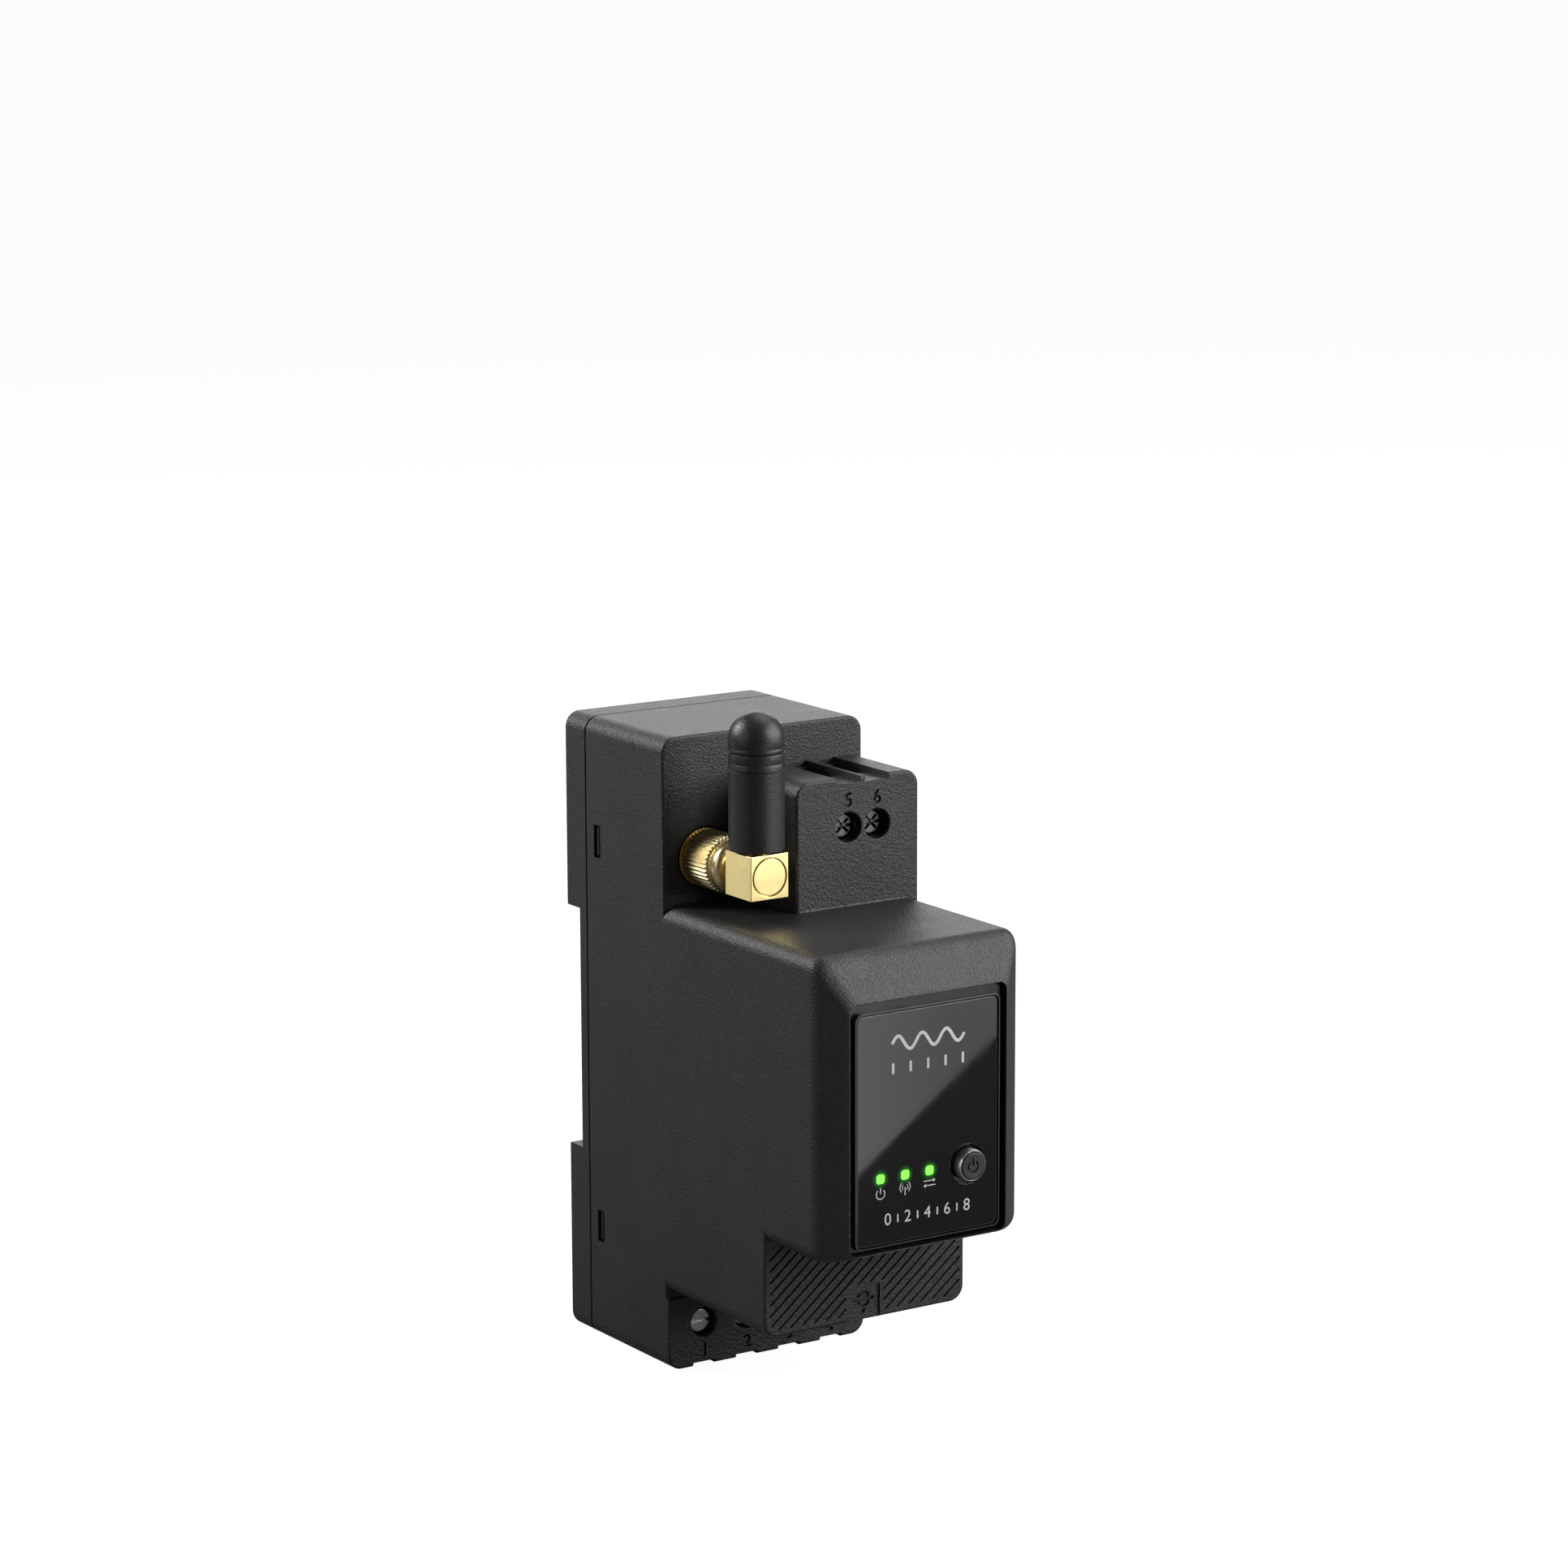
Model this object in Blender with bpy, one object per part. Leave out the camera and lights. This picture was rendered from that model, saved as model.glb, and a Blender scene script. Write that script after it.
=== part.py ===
"""Smart electric meter for a 35 mm rail: two module widths, a stub antenna, data terminals and CT sockets.

+X is the meter's right side seen from the front, +Y points to the rail and +Z up. The origin is the
middle of the face that rests on the rail. Lengths are in metres.
"""

import math

import bmesh
import bpy
from mathutils import Matrix, Vector

MM = 0.001
GAP = 0.3 * MM
FINE_GAP = 0.15 * MM
ROUND_STEPS = 32
CORNER_STEPS = 4

# Casing: half width, and the planes of its steps from the rail to the front.
HALF_WIDTH = 18.0 * MM
WALL = 1.6 * MM
CORNER = 2.4 * MM
TOP = 47.9 * MM
BOTTOM = -50.05 * MM
BACK = 4.15 * MM
SEAM = -2.1 * MM
HOUSING_REAR = SEAM - GAP / 2
COVER_FRONT = SEAM + GAP / 2
SHOULDER = -24.2 * MM
TERMINAL_FACE = -24.9 * MM
DATA_FACE = -39.3 * MM
CT_FACE = -51.5 * MM
HEAD_EDGE = -64.7 * MM
RIM_FACE = -67.8 * MM

# Head: the part that shows through a distribution board's cut-out, and the rim round its panel.
HEAD_TOP = 22.25 * MM
HEAD_BOTTOM = -23.3 * MM
CT_BOTTOM = -37.9 * MM
RIM_X = 13.8 * MM
RIM_TOP = 15.3 * MM
RIM_BOTTOM = -22.15 * MM
RIM_EDGE = 0.2 * MM
RECESS_FLOOR = -64.3 * MM
HEAD_CAVITY = -63.0 * MM

# Data terminal block at the upper right.
DATA_LEFT = -4.0 * MM
DATA_TOP = 41.9 * MM
DATA_X = (5.3 * MM, 10.45 * MM)
DATA_Z = 34.3 * MM
DATA_CHANNEL = 2.2 * MM
DATA_CHANNEL_DEPTH = 0.9 * MM
DATA_MOUTH = (-33.5 * MM, -25.5 * MM)

# Mains terminals along the bottom edge.
TERMINAL_PITCH = 7.75 * MM
TERMINAL_X = [(i - 1.5) * TERMINAL_PITCH for i in range(4)]
TERMINAL_Z = -43.3 * MM
SCREW_HOLE = 2.3 * MM
TERMINAL_FLOOR = -48.1 * MM
TERMINAL_ROOF = -38.6 * MM
ENTRY_Y = (-15.3 * MM, -9.9 * MM)
NOTCH = 0.6 * MM

# Rail channel, its fixed hooks and the sliding clip.
RAIL_TOP = 17.7 * MM
RAIL_BOTTOM = -20.3 * MM
HOOK_FRONT = 1.4 * MM
HOOK_REACH = 1.7 * MM
HOOK_X = (4.0 * MM, 14.0 * MM)
HOOK_POCKET = 0.5 * MM
CLIP_HALF = 8.0 * MM
CLIP_FLANGE = 10.0 * MM
CLIP_FLOOR = 0.3 * MM
CLIP_STEP = 2.05 * MM
CLIP_BACK = 3.95 * MM
CLIP_TOP = -17.8 * MM
CLIP_LIP = -16.1 * MM
CLIP_END = -49.6 * MM
CLIP_WINDOW = (-45.5 * MM, -30.0 * MM)
DRIVER_SLOT = (-48.6 * MM, -46.9 * MM)
SPRING_POST = (-43.6 * MM, -42.6 * MM)
SPRING_RADIUS = 1.35 * MM
SPRING_WIRE = 0.22 * MM
SPRING_TURNS = 7

# Snap hooks of the rear cover and the windows in the housing's sides.
SNAP_Z = (29.05 * MM, -31.8 * MM)
WINDOW_HALF = 2.55 * MM
WINDOW_Y = (-6.3 * MM, -4.4 * MM)
SNAP_HALF = 2.2 * MM
SNAP_ARM = 1.2 * MM

# Antenna: the coaxial joint runs along Y, the rod along Z.
ANTENNA_X = -10.6 * MM
ANTENNA_Z = 29.13 * MM
BARREL = 3.1 * MM
COUNTERBORE = 4.75 * MM
JACK_FLANGE = 4.4 * MM
NUT_RADIUS = 4.45 * MM
NUT_REAR = SHOULDER - GAP
KNURL_LENGTH = 6.9 * MM
COLLAR_RADIUS = 4.1 * MM
COLLAR_LENGTH = 2.6 * MM
KNURL_TEETH = 40
ELBOW_HALF = 3.3 * MM
ELBOW_HEIGHT = 6.75 * MM
ELBOW_FRONT = -42.1 * MM
ELBOW_DEPTH = 7.0 * MM
ELBOW_CAP = 2.8 * MM
ROD_RADIUS = 4.18 * MM
ROD_TOP = 53.45 * MM
ROD_SPLIT = 47.5 * MM
INSERT_X = (-16.9 * MM, -4.3 * MM)
INSERT_Z = (24.2 * MM, 39.55 * MM)
INSERT_CORNER = 1.15 * MM
RADIATOR_RADIUS = 0.8 * MM
LEAD_RADIUS = 0.65 * MM

# Front panel, indicator lamps and push button.
GLASS_X = 12.4 * MM
GLASS_TOP = 13.3 * MM
GLASS_BOTTOM = -21.05 * MM
GLASS_FACE = -67.45 * MM
GLASS_THICK = 1.5 * MM
LIP = 0.3 * MM
LIP_FACE = -67.6 * MM
TRAY_FACE = -66.7 * MM
TRAY_REAR = RECESS_FLOOR - GAP
LAMP_X = (-8.3 * MM, -3.97 * MM, 0.35 * MM)
LAMP_Z = -11.2 * MM
LAMP_HALF = 0.65 * MM
BUTTON_X = 7.15 * MM
BUTTON_Z = -11.3 * MM
BUTTON_HOLE = 3.0 * MM
BUTTON_RADIUS = 2.0 * MM
BUTTON_FACE = -68.95 * MM
BUTTON_FLANGE = 3.3 * MM
RING_RADIUS = 2.45 * MM
DISPLAY_BOARD = (-60.0 * MM, -58.8 * MM)

# Boards inside.
METERING_BOARD = (-7.2 * MM, -5.6 * MM)
POWER_BOARD = (-3.0 * MM, -1.8 * MM)
COMMS_BOARD = (17.4 * MM, 18.6 * MM)
CT_BOARD = (-25.4 * MM, -24.2 * MM)
CT_SOCKET_Y = (-45.0 * MM, -36.0 * MM)
CT_SOCKET_X = 13.0 * MM
CT_CAVITY_PITCH = 8.2 * MM
CT_TAB_X = (-2.95 * MM, 2.6 * MM)
CT_TAB_TOP = -32.7 * MM

FINISHES = {
    "moulded_black": ((0.018, 0.018, 0.019), 0.55, 0.0),
    "clip_black": ((0.03, 0.03, 0.032), 0.5, 0.0),
    "rubber_black": ((0.012, 0.012, 0.012), 0.6, 0.0),
    "glass_black": ((0.008, 0.008, 0.009), 0.06, 0.0),
    "gold_brass": ((0.83, 0.64, 0.28), 0.28, 1.0),
    "chrome": ((0.75, 0.75, 0.77), 0.12, 1.0),
    "steel": ((0.6, 0.6, 0.6), 0.3, 1.0),
    "tinned_copper": ((0.72, 0.6, 0.5), 0.35, 1.0),
    "terminal_plastic": ((0.035, 0.036, 0.04), 0.5, 0.0),
    "circuit_board": ((0.02, 0.13, 0.05), 0.45, 0.0),
    "chip_black": ((0.02, 0.02, 0.02), 0.5, 0.0),
    "clear_guide": ((0.85, 0.9, 0.87), 0.1, 0.0),
    "lamp_green": ((0.1, 0.8, 0.1), 0.3, 0.0),
    "core_tape": ((0.75, 0.6, 0.1), 0.5, 0.0),
    "capacitor_sleeve": ((0.03, 0.05, 0.16), 0.4, 0.0),
    "varistor_blue": ((0.05, 0.12, 0.4), 0.45, 0.0),
    "fuse_ceramic": ((0.8, 0.78, 0.72), 0.4, 0.0),
    "cable_black": ((0.015, 0.015, 0.015), 0.5, 0.0),
}


def clear_scene():
    for obj in list(bpy.data.objects):
        bpy.data.objects.remove(obj, do_unlink=True)


def finish(name):
    """The material of that name, made on first use."""
    if name in bpy.data.materials:
        return bpy.data.materials[name]
    colour, roughness, metallic = FINISHES[name]
    made = bpy.data.materials.new(name)
    made.use_nodes = True
    shader = made.node_tree.nodes["Principled BSDF"]
    shader.inputs["Base Color"].default_value = (*colour, 1.0)
    shader.inputs["Roughness"].default_value = roughness
    shader.inputs["Metallic"].default_value = metallic
    return made


# Outlines: lists of 2-D points, anticlockwise.


def circle(x, y, radius, steps=ROUND_STEPS):
    angles = [2 * math.pi * i / steps for i in range(steps)]
    return [(x + radius * math.cos(angle), y + radius * math.sin(angle)) for angle in angles]


def rounded(low_x, high_x, low_y, high_y, radii, steps=CORNER_STEPS):
    """A rectangle whose corners (low low, high low, high high, low high) have these radii."""
    points = []
    corners = [(low_x, low_y, 1, 1), (high_x, low_y, -1, 1)]
    corners += [(high_x, high_y, -1, -1), (low_x, high_y, 1, -1)]
    for i, ((x, y, inward_x, inward_y), radius) in enumerate(zip(corners, radii)):
        if radius == 0:
            points.append((x, y))
            continue
        for step in range(steps + 1):
            angle = math.pi * (1 + i / 2 + step / steps / 2)
            centre_x = x + inward_x * radius
            centre_y = y + inward_y * radius
            points.append((centre_x + radius * math.cos(angle), centre_y + radius * math.sin(angle)))
    return points


def rectangle(low_x, high_x, low_y, high_y):
    return [(low_x, low_y), (high_x, low_y), (high_x, high_y), (low_x, high_y)]


def hexagon(x, y, across_flats):
    return circle(x, y, across_flats / math.sqrt(3), 6)


def toothed(x, y, tip, root, teeth):
    """A knurled circle: each tooth is one point out and one point in."""
    points = []
    for i in range(2 * teeth):
        radius = tip if i % 2 else root
        angle = math.pi * i / teeth
        points.append((x + radius * math.cos(angle), y + radius * math.sin(angle)))
    return points


# Shapes: each is a function that adds one closed surface to a bmesh.


def placed(point, along, height):
    """A 2-D point put into space: along X it is (y, z), along Y (x, z) and along Z (x, y)."""
    a, b = point
    return {"X": Vector((height, a, b)), "Y": Vector((a, height, b)), "Z": Vector((a, b, height))}[along]


def loft(along, *sections):
    """Outlines of equally many points, each with its height, joined in order and closed at the ends."""

    def add(bm):
        rings = []
        for outline, height in sections:
            rings.append([bm.verts.new(placed(point, along, height)) for point in outline])
        for lower, upper in zip(rings, rings[1:]):
            for i in range(len(lower)):
                j = (i + 1) % len(lower)
                bm.faces.new((lower[i], lower[j], upper[j], upper[i]))
        bm.faces.new(rings[0][::-1])
        bm.faces.new(rings[-1])

    return add


def prism(outline, along, start, end):
    return loft(along, (outline, start), (outline, end))


def block(x, y, z):
    return prism(rectangle(*x, *y), "Z", *z)


def rod(along, a, b, radius, start, end, steps=ROUND_STEPS):
    return prism(circle(a, b, radius, steps), along, start, end)


def turned(along, a, b, profile, steps=ROUND_STEPS):
    """A solid of revolution about the line through (a, b), from (radius, height) pairs."""
    return loft(along, *((circle(a, b, radius, steps), height) for radius, height in profile))


def coil(x, y, radius, wire, low, high, turns, steps=12, sides=6):
    """A round wire wound about the line through (x, y) along Z."""
    count = turns * steps + 1
    rings = []
    for i in range(count):
        angle = 2 * math.pi * i / steps
        height = low + wire + (high - low - 2 * wire) * i / (count - 1)
        ring = []
        for side in range(sides):
            turn = 2 * math.pi * side / sides
            reach = radius + wire * math.cos(turn)
            side_x = x + reach * math.cos(angle)
            side_y = y + reach * math.sin(angle)
            ring.append((side_x, side_y, height + wire * math.sin(turn)))
        rings.append(ring)

    def add(bm):
        made = [[bm.verts.new(point) for point in ring] for ring in rings]
        for lower, upper in zip(made, made[1:]):
            for i in range(sides):
                j = (i + 1) % sides
                bm.faces.new((lower[i], lower[j], upper[j], upper[i]))
        bm.faces.new(made[0][::-1])
        bm.faces.new(made[-1])

    return add


def mesh_object(name, shapes, origin=(0, 0, 0)):
    bm = bmesh.new()
    for shape in shapes:
        shape(bm)
    bmesh.ops.recalc_face_normals(bm, faces=bm.faces)
    mesh = bpy.data.meshes.new(name)
    bm.to_mesh(mesh)
    bm.free()
    mesh.transform(Matrix.Translation(-Vector(origin)))
    mesh.shade_smooth()
    mesh.set_sharp_from_angle(angle=math.radians(30))
    obj = bpy.data.objects.new(name, mesh)
    obj.location = origin
    bpy.context.scene.collection.objects.link(obj)
    return obj


def solid(name, finish_name, shape, joined=(), cut=(), added=(), origin=(0, 0, 0)):
    """One piece: a shape, others joined to it, others cut from it, and a last few added after the cuts."""
    obj = mesh_object(name, [shape], origin)
    obj.data.materials.append(finish(finish_name))
    steps = [("UNION", other) for other in joined]
    steps += [("DIFFERENCE", other) for other in cut]
    steps += [("UNION", other) for other in added]
    for i, (operation, other) in enumerate(steps):
        tool = mesh_object(f"{name}_{operation.lower()}_{i}", [other])
        tool.data.materials.append(finish(finish_name))
        tool.hide_render = True
        tool.display_type = "WIRE"
        modifier = obj.modifiers.new(tool.name, "BOOLEAN")
        modifier.operation = operation
        modifier.solver = "EXACT"
        modifier.object = tool
    return obj


def front_housing():
    """The shell with its stepped front, open at the back."""
    across = (-HALF_WIDTH, HALF_WIDTH)
    inside = HALF_WIDTH - WALL
    within = (-inside, inside)
    ample = 1 * MM
    behind = SHOULDER + 4 * MM

    back_outline = rounded(*across, BOTTOM, TOP, (CORNER,) * 4)
    terminal_outline = rounded(*across, BOTTOM, TERMINAL_ROOF, (CORNER, CORNER, 0, 0))
    ct_outline = rounded(*across, CT_BOTTOM, HEAD_BOTTOM + 4 * MM, (CORNER, CORNER, 0, 0))
    head_outline = rounded(*across, HEAD_BOTTOM, HEAD_TOP, (CORNER,) * 4)
    rim_half = RIM_X + RIM_EDGE
    rim_outline = rounded(
        -rim_half, rim_half, RIM_BOTTOM - RIM_EDGE, RIM_TOP + RIM_EDGE, (1.5 * MM,) * 4
    )
    data_low = HEAD_TOP - 4 * MM
    data_outline = rounded(DATA_LEFT, HALF_WIDTH, data_low, DATA_TOP, (0, 0, CORNER, CORNER))
    joined = [
        loft("Y", (head_outline, behind), (head_outline, HEAD_EDGE), (rim_outline, RIM_FACE)),
        prism(ct_outline, "Y", behind, CT_FACE),
        prism(terminal_outline, "Y", behind, TERMINAL_FACE),
        prism(data_outline, "Y", behind, DATA_FACE),
    ]

    cavities = [
        block(within, (SHOULDER + WALL, 0), (BOTTOM + WALL, TOP - WALL)),
        block(within, (TERMINAL_FACE + WALL, behind), (BOTTOM + WALL, TERMINAL_ROOF)),
        block(within, (HEAD_CAVITY, behind), (HEAD_BOTTOM + WALL, HEAD_TOP - WALL)),
        block(within, (CT_FACE + WALL, behind), (CT_BOTTOM + WALL, HEAD_BOTTOM + 3 * MM)),
        block((DATA_LEFT + WALL, inside), (DATA_FACE + WALL, behind), (data_low + ample, DATA_TOP - WALL)),
    ]
    recess = rounded(-RIM_X, RIM_X, RIM_BOTTOM, RIM_TOP, (1.3 * MM,) * 4)
    panel_openings = [
        prism(recess, "Y", RECESS_FLOOR, RIM_FACE - ample),
        block((-11.5 * MM, 11.5 * MM), (RECESS_FLOOR - ample, HEAD_CAVITY + ample), (-20 * MM, 12.5 * MM)),
    ]
    insert_x = (INSERT_X[0] - FINE_GAP, INSERT_X[1] + FINE_GAP)
    insert_z = (INSERT_Z[0] - FINE_GAP, INSERT_Z[1] + FINE_GAP)
    insert = rounded(*insert_x, *insert_z, (INSERT_CORNER + FINE_GAP,) * 4)
    openings = [prism(insert, "Y", SHOULDER + WALL + ample, SHOULDER - ample)]
    for side in (-1, 1):
        for z in SNAP_Z:
            reach = sorted((side * (inside - ample), side * (HALF_WIDTH + ample)))
            openings.append(block(reach, WINDOW_Y, (z - WINDOW_HALF, z + WINDOW_HALF)))
    through = (TERMINAL_FACE - ample, TERMINAL_FACE + WALL + ample)
    entry_z = (BOTTOM - ample, BOTTOM + WALL + ample)
    for x in TERMINAL_X:
        openings.append(rod("Y", x, TERMINAL_Z, SCREW_HOLE, *through, 24))
        openings.append(block((x - 2.6 * MM, x + 2.6 * MM), ENTRY_Y, entry_z))
        notch_y = (TERMINAL_FACE - ample, ENTRY_Y[0] + 0.5 * MM)
        openings.append(block((x - 2 * MM, x + 2 * MM), notch_y, (BOTTOM - ample, BOTTOM + NOTCH)))
    through = (DATA_FACE - ample, DATA_FACE + WALL + ample)
    for x in DATA_X:
        channel = (x - DATA_CHANNEL, x + DATA_CHANNEL)
        openings.append(rod("Y", x, DATA_Z, SCREW_HOLE, *through, 24))
        shallow = (DATA_TOP - DATA_CHANNEL_DEPTH, DATA_TOP + ample)
        openings.append(block(channel, (DATA_FACE - ample, SHOULDER - FINE_GAP), shallow))
        openings.append(block(channel, DATA_MOUTH, (DATA_TOP - WALL - ample, DATA_TOP)))
    socket_x = CT_SOCKET_X + GAP
    socket_y = (CT_SOCKET_Y[0] - GAP, CT_SOCKET_Y[1] + GAP)
    openings.append(block((-socket_x, socket_x), socket_y, (CT_BOTTOM - ample, CT_BOTTOM + WALL + ample)))
    openings.append(block(CT_TAB_X, (CT_FACE - ample, CT_FACE + GAP), (CT_BOTTOM - ample, CT_TAB_TOP)))
    return solid(
        "front_housing",
        "moulded_black",
        prism(back_outline, "Y", HOUSING_REAR, SHOULDER),
        joined,
        cavities + panel_openings + openings,
    )


def rear_cover():
    """The back plate with the rail channel, fixed hooks, clip guide and four snap hooks."""
    overlap = 1 * MM
    ample = 1 * MM
    outline = rounded(-HALF_WIDTH, HALF_WIDTH, BOTTOM, TOP, (CORNER,) * 4)
    upper = rounded(-HALF_WIDTH, HALF_WIDTH, RAIL_TOP, TOP, (0, 0, CORNER, CORNER))
    lower = rounded(-HALF_WIDTH, HALF_WIDTH, BOTTOM, RAIL_BOTTOM, (CORNER, CORNER, 0, 0))
    joined = [prism(upper, "Y", -overlap, BACK), prism(lower, "Y", -overlap, BACK)]
    pockets = []
    for side in (-1, 1):
        hook_x = sorted((side * HOOK_X[0], side * HOOK_X[1]))
        joined.append(block(hook_x, (HOOK_FRONT, BACK), (RAIL_TOP - HOOK_REACH, RAIL_TOP + overlap)))
        pocket_x = (hook_x[0] - GAP, hook_x[1] + GAP)
        pocket_z = (RAIL_TOP - HOOK_REACH - GAP, RAIL_TOP + GAP)
        pockets.append(block(pocket_x, (-HOOK_POCKET, HOOK_FRONT - GAP), pocket_z))
    guide = CLIP_FLANGE + GAP
    mouth = CLIP_HALF + GAP
    clip_z = (BOTTOM - ample, RAIL_BOTTOM + ample)
    cut = [
        *pockets,
        block((-guide, guide), (CLIP_FLOOR, CLIP_STEP + GAP), clip_z),
        block((-mouth, mouth), (CLIP_FLOOR + ample / 2, BACK + ample), clip_z),
        block((-16 * MM, 16 * MM), (COVER_FRONT - ample, BACK - WALL), (RAIL_TOP + WALL, TOP - WALL)),
    ]
    added = [block((-1.6 * MM, 1.6 * MM), (CLIP_FLOOR - overlap, CLIP_BACK - 0.8 * MM), SPRING_POST)]
    arm_outer = HALF_WIDTH - WALL - GAP
    arm_inner = arm_outer - SNAP_ARM
    hook_y = (WINDOW_Y[0] + GAP, WINDOW_Y[1] - GAP)
    for side in (-1, 1):
        for z in SNAP_Z:
            arm_z = (z - SNAP_HALF, z + SNAP_HALF)
            arm_x = sorted((side * arm_inner, side * arm_outer))
            hook_x = sorted((side * (arm_outer - overlap / 2), side * (HALF_WIDTH - 0.4 * MM)))
            tail = COVER_FRONT + overlap if z < 0 else BACK - WALL + overlap
            added.append(block(arm_x, (WINDOW_Y[0] - 0.5 * MM, tail), arm_z))
            added.append(block(hook_x, hook_y, arm_z))
    solid("rear_cover", "moulded_black", prism(outline, "Y", COVER_FRONT, 0), joined, cut, added)


def din_clip():
    """The clip that slides down to free the rail, with its spring's window and a slot for a screwdriver."""
    ample = 1 * MM
    thick = (CLIP_FLOOR + GAP, CLIP_BACK)
    through = (thick[0] - ample, thick[1] + ample)
    flange_z = (CLIP_END, RAIL_BOTTOM - 1 * MM)
    lip_y = (HOOK_FRONT + FINE_GAP, CLIP_BACK)
    solid(
        "din_clip",
        "clip_black",
        block((-CLIP_HALF, CLIP_HALF), thick, (CLIP_END, CLIP_TOP)),
        [
            block((-CLIP_FLANGE, CLIP_FLANGE), (thick[0], CLIP_STEP), flange_z),
            block((-CLIP_HALF, CLIP_HALF), lip_y, (CLIP_TOP - ample, CLIP_LIP)),
        ],
        [
            block((-2.2 * MM, 2.2 * MM), through, CLIP_WINDOW),
            block((-3.2 * MM, 3.2 * MM), through, DRIVER_SLOT),
        ],
        origin=(0, 0, CLIP_TOP),
    )
    spring_y = (thick[0] + thick[1]) / 2
    low = SPRING_POST[1] + GAP
    high = CLIP_WINDOW[1] - GAP
    spring = coil(0, spring_y, SPRING_RADIUS, SPRING_WIRE, low, high, SPRING_TURNS)
    solid("din_clip_spring", "steel", spring, origin=(0, spring_y, low))


def antenna():
    """The jack in its insert, the coupling nut, and the elbow and rod that swing on the jack's axis."""
    x, z = ANTENNA_X, ANTENNA_Z
    axis = (x, SHOULDER, z)
    insert = rounded(*INSERT_X, *INSERT_Z, (INSERT_CORNER,) * 4)
    counterbore = SHOULDER + 1 * MM
    solid(
        "antenna_panel",
        "moulded_black",
        prism(insert, "Y", SHOULDER, SHOULDER + WALL),
        cut=[
            rod("Y", x, z, COUNTERBORE, SHOULDER - 1 * MM, counterbore),
            rod("Y", x, z, BARREL + GAP, SHOULDER, SHOULDER + WALL + 1 * MM),
        ],
    )
    flange = (SHOULDER, counterbore - GAP)
    elbow_rear = ELBOW_FRONT + ELBOW_DEPTH
    nut_front = NUT_REAR - KNURL_LENGTH - COLLAR_LENGTH
    plug_face = nut_front + 1.0 * MM
    barrel_front = plug_face + 1.4 * MM
    solid(
        "sma_jack",
        "gold_brass",
        turned(
            "Y",
            x,
            z,
            [
                (1.8 * MM, SHOULDER + 8.2 * MM),
                (1.8 * MM, SHOULDER + 5.7 * MM),
                (BARREL, SHOULDER + 5.7 * MM),
                (BARREL, flange[1]),
                (JACK_FLANGE, flange[1]),
                (JACK_FLANGE, flange[0]),
                (BARREL, flange[0]),
                (BARREL, barrel_front),
            ],
        ),
    )
    nut_y = (SHOULDER + WALL + GAP, SHOULDER + WALL + GAP + 2 * MM)
    solid(
        "sma_jack_nut",
        "gold_brass",
        prism(hexagon(x, z, 8 * MM), "Y", *nut_y),
        cut=[rod("Y", x, z, BARREL + GAP, nut_y[0] - 1 * MM, nut_y[1] + 1 * MM)],
    )
    knurl = toothed(x, z, NUT_RADIUS, NUT_RADIUS - 0.25 * MM, KNURL_TEETH)
    solid(
        "sma_coupling_nut",
        "gold_brass",
        prism(knurl, "Y", NUT_REAR, NUT_REAR - KNURL_LENGTH),
        [rod("Y", x, z, COLLAR_RADIUS, NUT_REAR - 1 * MM, nut_front)],
        [
            rod("Y", x, z, BARREL + GAP, NUT_REAR + 1 * MM, plug_face),
            rod("Y", x, z, 2.3 * MM, plug_face + 1 * MM, nut_front - 1 * MM),
        ],
        origin=axis,
    )
    half = ELBOW_HEIGHT / 2
    solid(
        "antenna_elbow",
        "gold_brass",
        block((x - ELBOW_HALF, x + ELBOW_HALF), (ELBOW_FRONT, elbow_rear), (z - half, z + half)),
        [
            turned(
                "Y",
                x,
                z,
                [
                    (2.0 * MM, elbow_rear - 1 * MM),
                    (2.0 * MM, plug_face + GAP),
                    (2.9 * MM, plug_face + GAP),
                    (2.9 * MM, barrel_front - GAP),
                ],
            ),
            rod("Z", x, (ELBOW_FRONT + elbow_rear) / 2, 2.0 * MM, z, z + half + 3.5 * MM),
        ],
        [rod("Y", x, z, ELBOW_CAP + 0.2 * MM, ELBOW_FRONT - 1 * MM, ELBOW_FRONT + 1 * MM)],
        origin=axis,
    )
    cap = rod("Y", x, z, ELBOW_CAP, ELBOW_FRONT, ELBOW_FRONT + 1 * MM - GAP)
    solid("elbow_cap", "gold_brass", cap, origin=axis)
    antenna_rod(x, (ELBOW_FRONT + elbow_rear) / 2, z + half, axis)


def antenna_rod(x, y, base, axis):
    """The rubber sleeve and its domed tip over the radiator, standing on the elbow."""
    ample = 1 * MM
    sleeve = (base + GAP, ROD_SPLIT - FINE_GAP)
    solid(
        "antenna_sleeve",
        "rubber_black",
        rod("Z", x, y, ROD_RADIUS, *sleeve),
        cut=[rod("Z", x, y, 2.3 * MM, sleeve[0] - ample, sleeve[1] + ample)],
        origin=axis,
    )
    dome_centre = ROD_TOP - ROD_RADIUS
    steps = 7
    profile = [(ROD_RADIUS, ROD_SPLIT + FINE_GAP)]
    for i in range(steps):
        angle = i / steps * math.pi / 2
        profile.append((ROD_RADIUS * math.cos(angle), dome_centre + ROD_RADIUS * math.sin(angle)))
    profile.append((0.3 * MM, ROD_TOP))
    solid(
        "antenna_tip",
        "rubber_black",
        turned("Z", x, y, profile),
        cut=[rod("Z", x, y, 1.5 * MM, ROD_SPLIT - ample, ROD_TOP - 2 * MM, 16)],
        origin=axis,
    )
    radiator = rod("Z", x, y, RADIATOR_RADIUS, base + 3.5 * MM + GAP, ROD_TOP - 2.4 * MM, 12)
    solid("antenna_radiator", "tinned_copper", radiator, origin=axis)


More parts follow.
